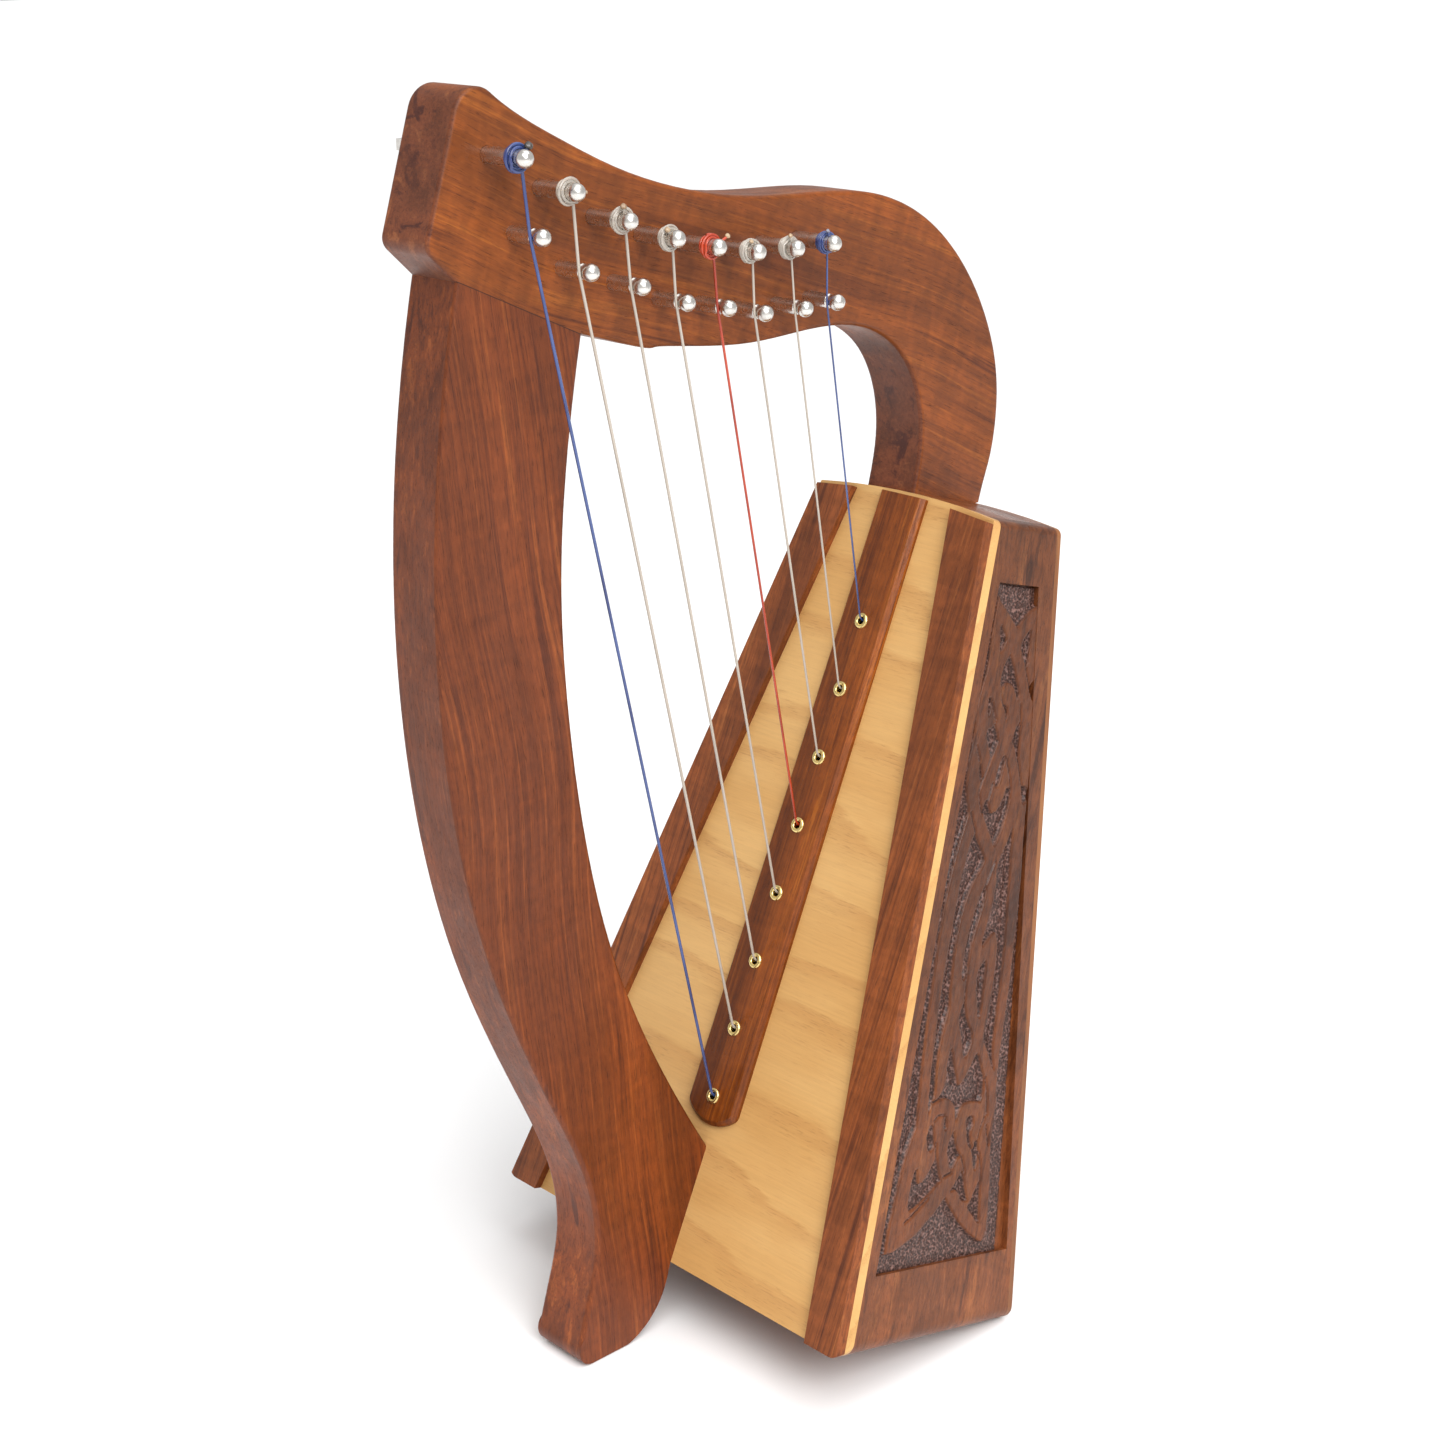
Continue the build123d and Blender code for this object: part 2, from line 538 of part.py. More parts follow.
# ---------------------------------------------------------------- neck and pillar
neck_plane = Plane.YZ.offset(NECK_BACK_X)           # local (Y, Z), the far face of both
foot_top = board_point(0, PILLAR_JOINT)
with BuildPart() as front_frame:
    with BuildSketch(neck_plane):
        with BuildLine():
            nose = Line((-125.6, 397.0), (-114.3, 432.5))
            crest = TangentArc(nose @ 1, (-107.3, 438.7), tangent=nose % 1)
            brow = TangentArc(crest @ 1, (-100.5, 437.0), tangent=crest % 1)
            upper = Spline(
                brow @ 1,
                (-75.5, 422.3),
                (-52.0, 411.5),
                (-25.0, 403.0),
                (4.0, 398.2),
                (38.0, 396.7),
                (63.5, 393.5),
                (86.0, 384.4),
                (107.0, 366.5),
                (121.8, 343.0),
                (128.2, 318.0),
                (125.3, 293.0),
                (119.8, 277.3),
                tangents=(brow % 1, (-0.3, -1)),
            )
            under = Spline(
                (82.4, 282.0),
                (87.0, 306.0),
                (84.6, 323.0),
                (75.3, 338.6),
                (59.5, 348.4),
                (35.0, 351.8),
                (-2.0, 351.0),
                (-37.0, 354.8),
                JOINT_CORNER,
                tangents=((0.24, 1), (-0.9, 0.28)),
            )
            Polyline(upper @ 1, (117.0, 277.3), (111.0, 268.0), under @ 0)   # the end, sunk in the box
            back = Spline(
                JOINT_CORNER,
                (-75.3, 325.0),
                (-78.9, 285.0),
                (-77.6, 245.0),
                (-71.0, 194.0),
                (-59.6, 149.0),
                (-41.4, 105.5),
                (foot_top.Y, foot_top.Z),
            )
            glue = Line(back @ 1, (FOOT_Y, FOOT_Z))
            ankle = Line(glue @ 1, (-39.6, 19.0))
            heel = ThreePointArc(ankle @ 1, (-46.6, 7.1), (-58.5, 0.0))
            sole = Line(heel @ 1, (-75.5, 0.0))
            toe = ThreePointArc(sole @ 1, (-79.6, 2.3), (-80.6, 8.5))
            front = Spline(
                toe @ 1,
                (-76.2, 23.8),
                (-72.2, 40.0),
                (-72.9, 62.0),
                (-86.8, 100.0),
                (-110.5, 157.3),
                (-124.4, 218.0),
                (-128.3, 278.0),
                (-123.6, 341.0),
                (-115.6, 383.9),
            )
            chin = TangentArc(nose @ 0, (-124.4, 392.2), tangent=(nose % 0) * -1)
            Line(chin @ 1, front @ 1)
        make_face()
    extrude(amount=NECK_THICKNESS)
    rims = front_frame.edges().filter_by(lambda e: abs(e.tangent_at(0.5).X) < 0.5)
    fillet(rims.filter_by(lambda e: e.geom_type == GeomType.BSPLINE or e.center().Y < -100), EDGE_RADIUS)

# everything of that outline below the joint is the pillar
joint_fall = tan(radians(JOINT_ANGLE))
with BuildPart() as pillar_space:
    with BuildSketch(neck_plane):
        with BuildLine():
            Polyline(
                (JOINT_CORNER[0] + 1, JOINT_CORNER[1] - joint_fall),
                (JOINT_CORNER[0] - JOINT_WIDTH, JOINT_CORNER[1] + JOINT_WIDTH * joint_fall),
                (JOINT_CORNER[0] - 100, JOINT_CORNER[1]),
                (JOINT_CORNER[0] - 100, -10),
                (0, -10),
                (0, foot_top.Z + 50),
                close=True,
            )
        make_face()
    extrude(amount=NECK_THICKNESS)

with BuildPart() as neck:
    add(front_frame.part)
    add(pillar_space.part, mode=Mode.SUBTRACT)
    add(box_shape.part, mode=Mode.SUBTRACT)
    add(neck_pillar_dowels.part, mode=Mode.SUBTRACT)
    add(shoulder_dowels.part, mode=Mode.SUBTRACT)
    with BuildSketch(neck_plane):
        with Locations(*TUNING_PINS):
            Circle(TUNING_PIN_RADIUS + PIN_CLEARANCE)
    extrude(amount=NECK_THICKNESS, mode=Mode.SUBTRACT)
    with BuildSketch(Plane.YZ.offset(NECK_FACE_X)):
        with Locations(*BRIDGE_PINS):
            Circle(BRIDGE_PIN_RADIUS)
    extrude(amount=-BRIDGE_PIN_DEPTH, mode=Mode.SUBTRACT)
save(neck.part, "neck")

with BuildPart() as pillar:
    add(front_frame.part)
    add(pillar_space.part, mode=Mode.INTERSECT)
    add(neck_pillar_dowels.part, mode=Mode.SUBTRACT)
    add(pillar_screws.part, mode=Mode.SUBTRACT)
save(pillar.part, "pillar")

# ---------------------------------------------------------------- bridge pins
def pin_frame(y, z):
    """Local X along the pin, out of the neck, and local Y across it."""
    return Plane(origin=(NECK_FACE_X, y, z), x_dir=(1, 0, 0), z_dir=(0, -1, 0))


string_x = NECK_FACE_X + STRING_PLANE
with BuildPart() as bridge_pins:
    for y, z in BRIDGE_PINS:
        ball_centre = BRIDGE_PIN_REACH - BRIDGE_BALL_RADIUS
        ball_start = ball_centre - (BRIDGE_BALL_RADIUS**2 - BRIDGE_PIN_RADIUS**2) ** 0.5
        with BuildSketch(pin_frame(y, z)):
            with BuildLine():
                ThreePointArc(
                    (ball_start, BRIDGE_PIN_RADIUS),
                    (ball_centre, BRIDGE_BALL_RADIUS),
                    (BRIDGE_PIN_REACH, 0),
                )
                Polyline(
                    (BRIDGE_PIN_REACH, 0),
                    (-BRIDGE_PIN_DEPTH, 0),
                    (-BRIDGE_PIN_DEPTH, BRIDGE_PIN_RADIUS),
                    (STRING_PLANE - GROOVE_WIDTH / 2, BRIDGE_PIN_RADIUS),
                )
                ThreePointArc(
                    (STRING_PLANE - GROOVE_WIDTH / 2, BRIDGE_PIN_RADIUS),
                    (STRING_PLANE, GROOVE_RADIUS),
                    (STRING_PLANE + GROOVE_WIDTH / 2, BRIDGE_PIN_RADIUS),
                )
                Line((STRING_PLANE + GROOVE_WIDTH / 2, BRIDGE_PIN_RADIUS), (ball_start, BRIDGE_PIN_RADIUS))
            make_face()
        revolve(axis=Axis(origin=(NECK_FACE_X, y, z), direction=(1, 0, 0)))
save(bridge_pins.part, "bridge_pins")


# ---------------------------------------------------------------- tuning pins and the string wound on each
def tuning_pin(y, z):
    ball_centre = TUNING_PIN_REACH - TUNING_BALL_RADIUS
    ball_start = ball_centre - (TUNING_BALL_RADIUS**2 - TUNING_PIN_RADIUS**2) ** 0.5
    drive_start = -NECK_THICKNESS - DRIVE_NECK
    with BuildPart() as pin:
        with BuildSketch(pin_frame(y, z)):
            with BuildLine():
                Polyline(
                    (TUNING_PIN_REACH, 0),
                    (drive_start, 0),
                    (drive_start, TUNING_PIN_RADIUS),
                    (ball_start, TUNING_PIN_RADIUS),
                )
                ThreePointArc(
                    (ball_start, TUNING_PIN_RADIUS),
                    (ball_centre, TUNING_BALL_RADIUS),
                    (TUNING_PIN_REACH, 0),
                )
            make_face()
        revolve(axis=Axis(origin=(NECK_FACE_X, y, z), direction=(1, 0, 0)))
        with BuildSketch(Plane.YZ.offset(NECK_FACE_X + drive_start)):
            with Locations((y, z)):
                Rectangle(DRIVE_SIZE, DRIVE_SIZE)
        extrude(amount=-DRIVE_LENGTH, taper=1.5)
        chamfer(pin.faces().sort_by(Axis.X)[0].edges(), 0.5)
    return pin.part


def string_coil(y, z, thickness):
    with BuildPart() as coil:
        with BuildSketch(Plane.YZ.offset(NECK_FACE_X + COIL_START)):
            with Locations((y, z)):
                Circle(TUNING_PIN_RADIUS + COIL_BUILD * thickness)
                Circle(TUNING_PIN_RADIUS, mode=Mode.SUBTRACT)
        extrude(amount=COIL_WIDTH)
        fillet(coil.faces().filter_by(GeomType.CYLINDER).sort_by(SortBy.AREA)[-1].edges(), thickness / 2)
    return coil.part


for number, ((y, z), thickness) in enumerate(zip(TUNING_PINS, STRING_DIAMETERS), start=1):
    save(tuning_pin(y, z), f"tuning_pin_{number}")
    save(string_coil(y, z, thickness), f"string_coil_{number}")


# ---------------------------------------------------------------- strings
def string_route(number):
    """Bead, eyelet, front of the bridge pin's groove, and the back of the tuning pin, with the bend radii."""
    thickness = STRING_DIAMETERS[number]
    along = eyelet_stations[number]
    start = board_point(0, along, anchor_out + ANCHOR_RADIUS)
    mouth = board_point(0, along, STRIP_THICKNESS + EYELET_FLANGE_HEIGHT)
    bridge_y, bridge_z = BRIDGE_PINS[number]
    turn_radius = GROOVE_RADIUS + thickness / 2 + STRING_CLEARANCE
    over_pin = Vector(string_x, bridge_y - turn_radius, bridge_z)
    pin_y, pin_z = TUNING_PINS[number]
    wrap = TUNING_PIN_RADIUS + STRING_TO_PIN + thickness / 2
    down_y, down_z = over_pin.Y - pin_y, over_pin.Z - pin_z
    turn = atan2(down_z, down_y) + acos(wrap / hypot(down_y, down_z))
    end = Vector(string_x, pin_y + wrap * cos(turn), pin_z + wrap * sin(turn))
    return [start, mouth, over_pin, end], [EYELET_BEND, turn_radius]


def harp_string(number):
    points, radii = string_route(number)
    with BuildPart() as wire:
        with BuildLine():
            route = FilletPolyline(*points, radius=radii)
        with BuildSketch(route ^ 0):
            Circle(STRING_DIAMETERS[number] / 2)
        sweep()
    expected = pi / 4 * STRING_DIAMETERS[number] ** 2 * route.length
    print(f"string {number + 1}: {route.length:.1f} mm, volume {wire.part.volume:.2f} of {expected:.2f} mm3")
    return wire.part


for number in range(len(STRING_DIAMETERS)):
    save(harp_string(number), f"string_{number + 1}")
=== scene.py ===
import json
from math import acos, atan2, cos, hypot, pi, radians, sin

import bmesh
import bpy
import numpy as np
from mathutils import Matrix, Vector


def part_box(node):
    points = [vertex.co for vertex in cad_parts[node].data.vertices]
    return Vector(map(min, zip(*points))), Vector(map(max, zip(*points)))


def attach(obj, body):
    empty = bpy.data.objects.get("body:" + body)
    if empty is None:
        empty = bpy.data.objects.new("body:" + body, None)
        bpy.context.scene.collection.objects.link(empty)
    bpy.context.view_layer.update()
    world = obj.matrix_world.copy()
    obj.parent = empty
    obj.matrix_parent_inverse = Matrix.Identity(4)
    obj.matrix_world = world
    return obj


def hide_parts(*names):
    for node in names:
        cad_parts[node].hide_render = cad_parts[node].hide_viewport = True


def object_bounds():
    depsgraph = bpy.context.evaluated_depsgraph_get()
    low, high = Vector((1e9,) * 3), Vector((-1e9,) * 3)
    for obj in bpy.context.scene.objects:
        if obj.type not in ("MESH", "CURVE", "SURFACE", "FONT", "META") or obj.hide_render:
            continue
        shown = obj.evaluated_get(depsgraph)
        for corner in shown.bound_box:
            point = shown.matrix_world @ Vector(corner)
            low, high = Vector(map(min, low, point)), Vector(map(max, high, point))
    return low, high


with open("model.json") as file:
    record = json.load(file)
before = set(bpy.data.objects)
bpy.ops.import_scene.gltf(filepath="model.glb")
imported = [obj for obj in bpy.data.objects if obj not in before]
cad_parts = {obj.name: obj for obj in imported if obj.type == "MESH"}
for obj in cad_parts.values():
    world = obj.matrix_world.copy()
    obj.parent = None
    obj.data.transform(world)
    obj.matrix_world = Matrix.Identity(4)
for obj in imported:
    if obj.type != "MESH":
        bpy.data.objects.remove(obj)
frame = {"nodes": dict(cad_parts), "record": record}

cad_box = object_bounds()
nodes = frame["nodes"]
record = frame["record"]
MM = 0.001
FAR = 9.0                     # farther than any edge that a hollow's wall depends on, in millimetres
scene = bpy.context.scene
rng = np.random.default_rng(11)

# ------------------------------------------------------------------ frames of the harp's parts
LEAN = radians(24.5)          # the soundboard's lean, and the fall of the joint of neck and pillar
UP_BOARD = Vector((0, sin(LEAN), cos(LEAN)))
OUT_BOARD = Vector((0, -cos(LEAN), sin(LEAN)))
BOARD_FOOT = Vector((0, -37.8, 24.9))
HALF_LOW, HALF_HIGH, BOARD_LENGTH = 88.8, 42.9, 285.5
TAPER = (HALF_LOW - HALF_HIGH) / BOARD_LENGTH


def on_side(v, depth, out=0.0):
    """A point on the right side panel, in metres: up the board, back from its face, out of the panel."""
    flat = Vector((HALF_LOW - TAPER * v, 0, 0)) + BOARD_FOOT + UP_BOARD * v - OUT_BOARD * depth
    normal = (Vector((1, 0, 0)) + UP_BOARD * TAPER).normalized()
    return (flat + normal * out) * MM


def islands(node):
    """(lowest corner, highest corner) of each separate solid of a node, in metres, from -Y to +Y."""
    bm = bmesh.new()
    bm.from_mesh(nodes[node].data)
    bmesh.ops.remove_doubles(bm, verts=bm.verts, dist=1e-6)
    bm.verts.ensure_lookup_table()
    seen, found = set(), []
    for start in bm.verts:
        if start.index in seen:
            continue
        seen.add(start.index)
        stack, points = [start], []
        while stack:
            vert = stack.pop()
            points.append(vert.co.copy())
            for edge in vert.link_edges:
                other = edge.other_vert(vert)
                if other.index not in seen:
                    seen.add(other.index)
                    stack.append(other)
        co = np.array(points)
        found.append((Vector(co.min(0)), Vector(co.max(0))))
    bm.free()
    return sorted(found, key=lambda b: b[0].y)


def mesh_object(name, verts, faces, smooth=True):
    """An object in the scene, from corners in metres and faces."""
    mesh = bpy.data.meshes.new(name)
    mesh.from_pydata([tuple(v) for v in verts], [], faces)
    mesh.update()
    if smooth:
        mesh.shade_smooth()
    obj = bpy.data.objects.new(name, mesh)
    scene.collection.objects.link(obj)
    return obj


def tube(name, points, radii, sides=12):
    """A closed round tube along points, with a radius at each."""
    points = [Vector(p) for p in points]
    tangents = []
    for i in range(len(points)):
        a, b = points[max(i - 1, 0)], points[min(i + 1, len(points) - 1)]
        tangents.append((b - a).normalized())
    normal = tangents[0].orthogonal().normalized()
    verts, faces = [], []
    for i, (p, t) in enumerate(zip(points, tangents)):
        normal = (normal - t * normal.dot(t)).normalized()
        side = t.cross(normal)
        for k in range(sides):
            a = 2 * pi * k / sides
            verts.append(p + (normal * cos(a) + side * sin(a)) * radii[i])
    for i in range(len(points) - 1):
        for k in range(sides):
            a, b = i * sides + k, i * sides + (k + 1) % sides
            faces.append((a, b, b + sides, a + sides))
    first, last = len(verts), len(verts) + 1
    verts += [points[0], points[-1]]
    end = (len(points) - 1) * sides
    for k in range(sides):
        faces.append((first, (k + 1) % sides, k))
        faces.append((last, end + k, end + (k + 1) % sides))
    return mesh_object(name, verts, faces)


# ------------------------------------------------------------------ camera
CAMERA_PLACE = (0.57537, -0.55237, 0.4976)
CAMERA_FORWARD = Vector((-0.6869, 0.64835, -0.32834))
CAMERA_UP = Vector((-0.23507, 0.22928, 0.94455))

camera_data = bpy.data.cameras.new("camera")
camera_data.lens = 61.29
camera_data.sensor_width = 36
camera_data.clip_start = 0.05
camera_data.clip_end = 40
camera = bpy.data.objects.new("camera", camera_data)
scene.collection.objects.link(camera)
forward = CAMERA_FORWARD.normalized()
upward = (CAMERA_UP - forward * CAMERA_UP.dot(forward)).normalized()
sideways = forward.cross(upward)
turned = Matrix((sideways, upward, -forward)).transposed().to_4x4()
camera.matrix_world = Matrix.Translation(CAMERA_PLACE) @ turned
scene.camera = camera


# ------------------------------------------------------------------ material kit
class Nodes:
    """Short calls for building one material's nodes."""

    def __init__(self, name):
        self.material = bpy.data.materials.new(name)
        self.material.use_nodes = True
        self.tree = self.material.node_tree
        self.tree.nodes.clear()
        self.output = self.tree.nodes.new("ShaderNodeOutputMaterial")
        self.shader = self.tree.nodes.new("ShaderNodeBsdfPrincipled")
        self.tree.links.new(self.shader.outputs[0], self.output.inputs[0])
        self.place = self.tree.nodes.new("ShaderNodeTexCoord").outputs["Object"]

    def put(self, socket, value):
        """Link a socket to another, or give it a constant."""
        if isinstance(value, bpy.types.NodeSocket):
            self.tree.links.new(value, socket)
        elif value is not None:
            socket.default_value = value

    def math(self, operation, a, b=None, c=None, clamp=False):
        node = self.tree.nodes.new("ShaderNodeMath")
        node.operation = operation
        node.use_clamp = clamp
        for socket, value in zip(node.inputs, (a, b, c)):
            self.put(socket, value)
        return node.outputs[0]

    def dot(self, vector, direction):
        node = self.tree.nodes.new("ShaderNodeVectorMath")
        node.operation = "DOT_PRODUCT"
        self.put(node.inputs[0], vector)
        node.inputs[1].default_value = tuple(direction)
        return node.outputs["Value"]

    def joined(self, x, y, z):
        node = self.tree.nodes.new("ShaderNodeCombineXYZ")
        for socket, value in zip(node.inputs, (x, y, z)):
            self.put(socket, value)
        return node.outputs[0]

    def scaled(self, vector, scale, shift=(0, 0, 0)):
        node = self.tree.nodes.new("ShaderNodeMapping")
        self.put(node.inputs["Vector"], vector)
        node.inputs["Scale"].default_value = scale
        node.inputs["Location"].default_value = shift
        return node.outputs[0]

    def noise(self, vector, scale=1.0, detail=3.0, roughness=0.5, distortion=0.0):
        node = self.tree.nodes.new("ShaderNodeTexNoise")
        self.put(node.inputs["Vector"], vector)
        node.inputs["Scale"].default_value = scale
        node.inputs["Detail"].default_value = detail
        node.inputs["Roughness"].default_value = roughness
        node.inputs["Distortion"].default_value = distortion
        return node.outputs["Fac"]

    def voronoi(self, vector, scale):
        node = self.tree.nodes.new("ShaderNodeTexVoronoi")
        self.put(node.inputs["Vector"], vector)
        node.inputs["Scale"].default_value = scale
        return node.outputs["Distance"]

    def ramp(self, value, *stops, smooth=True):
        node = self.tree.nodes.new("ShaderNodeValToRGB")
        node.color_ramp.interpolation = "EASE" if smooth else "LINEAR"
        elements = node.color_ramp.elements
        while len(elements) < len(stops):
            elements.new(1.0)
        for element, (position, colour) in zip(elements, stops):
            element.position = position
            if not isinstance(colour, (tuple, list)):
                colour = (colour, colour, colour)
            element.color = (*colour[:3], 1)
        self.put(node.inputs[0], value)
        return node.outputs[0]

    def mix(self, factor, a, b, blend="MIX"):
        node = self.tree.nodes.new("ShaderNodeMix")
        node.data_type = "RGBA"
        node.blend_type = blend
        node.clamp_factor = True
        self.put(node.inputs["Factor"], factor)
        for socket, value in ((node.inputs["A"], a), (node.inputs["B"], b)):
            if isinstance(value, (tuple, list)):
                value = (*value[:3], 1)
            self.put(socket, value)
        return node.outputs["Result"]

    def bump(self, height, strength, distance):
        node = self.tree.nodes.new("ShaderNodeBump")
        node.inputs["Strength"].default_value = strength
        node.inputs["Distance"].default_value = distance
        self.put(node.inputs["Height"], height)
        return node.outputs[0]

    def attribute(self, name):
        node = self.tree.nodes.new("ShaderNodeAttribute")
        node.attribute_name = name
        return node.outputs["Fac"]

    def set(self, **values):
        for name, value in values.items():
            self.put(self.shader.inputs[name.replace("_", " ")], value)


def grain_space(kit, along, bend=0.0):
    """Coordinates in millimetres with the grain along Z."""
    along = Vector(along).normalized()
    across = along.orthogonal().normalized()
    if abs(along.x) < 0.9:
        across = Vector((1, 0, 0))
        across = (across - along * across.dot(along)).normalized()
    third = along.cross(across)
    x, y, z = (kit.dot(kit.place, axis * 1000) for axis in (across, third, along))
    if bend:
        swing = kit.noise(kit.joined(0.0, 0.0, kit.math("MULTIPLY", z, 0.006)), 1.0, 1.0)
        y = kit.math("ADD", y, kit.math("MULTIPLY", kit.math("SUBTRACT", swing, 0.5), bend))
    return x, y, z


def walnut(name, along, tones, shift=(0, 0, 0), streaks=1.0, figure=0.5, bend=14.0, gloss=0.42, coat=0.04,
           tint=None, seam=None, streak=0.5):
    """Oiled reddish walnut. tones are the dark, middle and light colours."""
    kit = Nodes(name)
    dark, middle, light = tones
    x, y, z = grain_space(kit, along, bend)
    raw = kit.joined(x, y, z)
    # broad colour bands along the grain, as growth rings are cut by the face
    broad = kit.noise(kit.scaled(raw, (0.05, 0.05, 0.004), shift), 1.0, 3.0, 0.55, 0.6)
    rings = kit.noise(kit.scaled(raw, (0.2 * streaks, 0.2 * streaks, 0.006), shift), 1.0, 4.0, 0.62, 0.9)
    lines = kit.noise(kit.scaled(raw, (0.9, 0.9, 0.012), shift), 1.0, 3.0, 0.6, 0.3)
    colour = kit.ramp(rings, (0.34, dark), (0.47, middle), (0.56, middle), (0.68, light))
    colour = kit.mix(kit.ramp(broad, (0.38, 0.75), (0.6, 0.0)), colour, tuple(c * 0.62 for c in middle))
    colour = kit.mix(kit.ramp(lines, (0.36, streak), (0.5, 0.0)), colour, dark)
    colour = kit.mix(kit.ramp(lines, (0.56, 0.0), (0.72, streak)), colour, light)
    # cross figure that shimmers
    curl = kit.noise(kit.scaled(raw, (0.03, 0.05, 0.17), shift), 1.0, 2.0, 0.5, 0.5)
    shimmer = kit.ramp(curl, (0.35, 0.5 - 0.12 * figure), (0.65, 0.5 + 0.12 * figure))
    colour = kit.mix(1.0, colour, kit.mix(1.0, shimmer, (2, 2, 2), "MULTIPLY"), "MULTIPLY")
    # open pores: short dark dashes along the grain
    pores = kit.noise(kit.scaled(raw, (3.2, 3.2, 0.16), shift), 1.0, 2.0, 0.7)
    pore_mask = kit.ramp(pores, (0.57, 0.0), (0.68, 1.0))
    colour = kit.mix(kit.math("MULTIPLY", pore_mask, 0.55), colour, tuple(c * 0.4 for c in dark))
    mottle = kit.noise(kit.scaled(raw, (0.5, 0.5, 0.25), shift), 1.0, 4.0, 0.65)
    colour = kit.mix(1.0, colour, kit.ramp(mottle, (0.3, 0.88), (0.7, 1.1)), "MULTIPLY")
    if tint is not None:
        colour = tint(kit, colour)
    if seam is not None:
        normal, level = seam
        gap = kit.math("ABSOLUTE", kit.math("SUBTRACT", kit.dot(kit.place, Vector(normal) * 1000), level))
        colour = kit.mix(kit.ramp(gap, (0.15, 0.8), (0.45, 0.0)), colour, (0.02, 0.008, 0.004))
    smudge = kit.noise(kit.scaled(raw, (0.06, 0.06, 0.03), shift), 1.0, 3.0, 0.6)
    rough = kit.ramp(smudge, (0.3, gloss - 0.05), (0.7, gloss + 0.08))
    rough = kit.math("ADD", rough, kit.math("MULTIPLY", pore_mask, 0.2))
    fine = kit.math("ADD", kit.math("MULTIPLY", pore_mask, -1.0), kit.math("MULTIPLY", lines, 0.5))
    kit.set(Base_Color=colour, Roughness=rough, Normal=kit.bump(fine, 0.25, 0.00025))
    kit.set(Coat_Weight=coat, Coat_Roughness=0.3, Specular_IOR_Level=0.28)
    return kit.material


def pale_wood(name, along, tones, shift=(0, 0, 0), gloss=0.42):
    """Plain-sawn ash: pale, with bands of short brown pores along the grain."""
    kit = Nodes(name)
    dark, middle, light = tones
    x, y, z = grain_space(kit, along)
    raw = kit.joined(x, y, z)
    warp = kit.noise(kit.scaled(raw, (0.02, 0.02, 0.008), shift), 1.0, 2.0, 0.5)
    level = kit.math("ADD", kit.math("MULTIPLY", y, 0.11), kit.math("MULTIPLY", warp, 2.4))
    level = kit.math("ADD", level, kit.math("MULTIPLY", z, 0.0045))
    ring = kit.math("FRACT", level)
    jitter = kit.noise(kit.scaled(raw, (0.35, 0.35, 0.05), shift), 1.0, 3.0, 0.6)
    ring_soft = kit.math("ADD", ring, kit.math("MULTIPLY", kit.math("SUBTRACT", jitter, 0.5), 0.35))
    band = kit.ramp(ring_soft, (0.0, 0.15), (0.55, 0.35), (0.86, 1.0), (0.97, 0.1))
    broad = kit.noise(kit.scaled(raw, (0.035, 0.035, 0.012), shift), 1.0, 3.0, 0.55)
    colour = kit.ramp(broad, (0.35, middle), (0.65, light))
    colour = kit.mix(kit.math("MULTIPLY", band, 0.42), colour, dark)
    pores = kit.noise(kit.scaled(raw, (2.4, 2.4, 0.16), shift), 1.0, 2.0, 0.7)
    pore_mask = kit.math("MULTIPLY", kit.ramp(pores, (0.55, 0.0), (0.66, 1.0)),
                         kit.ramp(band, (0.2, 0.25), (0.8, 0.9)))
    colour = kit.mix(kit.math("MULTIPLY", pore_mask, 0.34), colour, tuple(c * 0.6 for c in dark))
    fibre = kit.noise(kit.scaled(raw, (1.4, 1.4, 0.03), shift), 1.0, 3.0, 0.6)
    colour = kit.mix(1.0, colour, kit.ramp(fibre, (0.3, 0.96), (0.7, 1.03)), "MULTIPLY")
    rough = kit.ramp(fibre, (0.3, gloss - 0.04), (0.7, gloss + 0.08))
    sunken = kit.math("MULTIPLY", pore_mask, -1.0)
    kit.set(Base_Color=colour, Roughness=rough, Normal=kit.bump(sunken, 0.3, 0.0002))
    kit.set(Coat_Weight=0.05, Coat_Roughness=0.35, Specular_IOR_Level=0.3)
    return kit.material


def metal(name, colour, rough, scratch=0.03):
    """Turned metal, with fine marks round the X axis and cloudy wear."""
    kit = Nodes(name)
    turned = kit.noise(kit.scaled(kit.place, (5200, 260, 260)), 1.0, 3.0, 0.6)
    cloud = kit.noise(kit.scaled(kit.place, (420, 420, 420)), 1.0, 3.0, 0.6)
    tone = kit.mix(kit.ramp(cloud, (0.4, 0.0), (0.75, 0.55)), colour, tuple(c * 0.72 for c in colour))
    roughness = kit.math("ADD", kit.ramp(cloud, (0.3, rough * 0.8), (0.7, rough * 1.35)),
                         kit.math("MULTIPLY", turned, scratch))
    kit.set(Base_Color=tone, Metallic=1.0, Roughness=roughness, Normal=kit.bump(turned, 0.02, 0.00002))
    return kit.material


def nylon(name, colour, deep, clear=0.0):
    """Glossy nylon that drifts between two tones; clear is how much light goes through."""
    kit = Nodes(name)
    cloud = kit.noise(kit.scaled(kit.place, (150, 150, 22)), 1.0, 2.0, 0.5)
    tone = kit.ramp(cloud, (0.3, deep), (0.65, colour))
    kit.set(Base_Color=tone, Roughness=kit.ramp(cloud, (0.3, 0.2), (0.7, 0.28)),
            Normal=kit.bump(cloud, 0.05, 0.00005))
    kit.set(Transmission_Weight=clear, IOR=1.53, Coat_Weight=0.3, Coat_Roughness=0.12)
    return kit.material


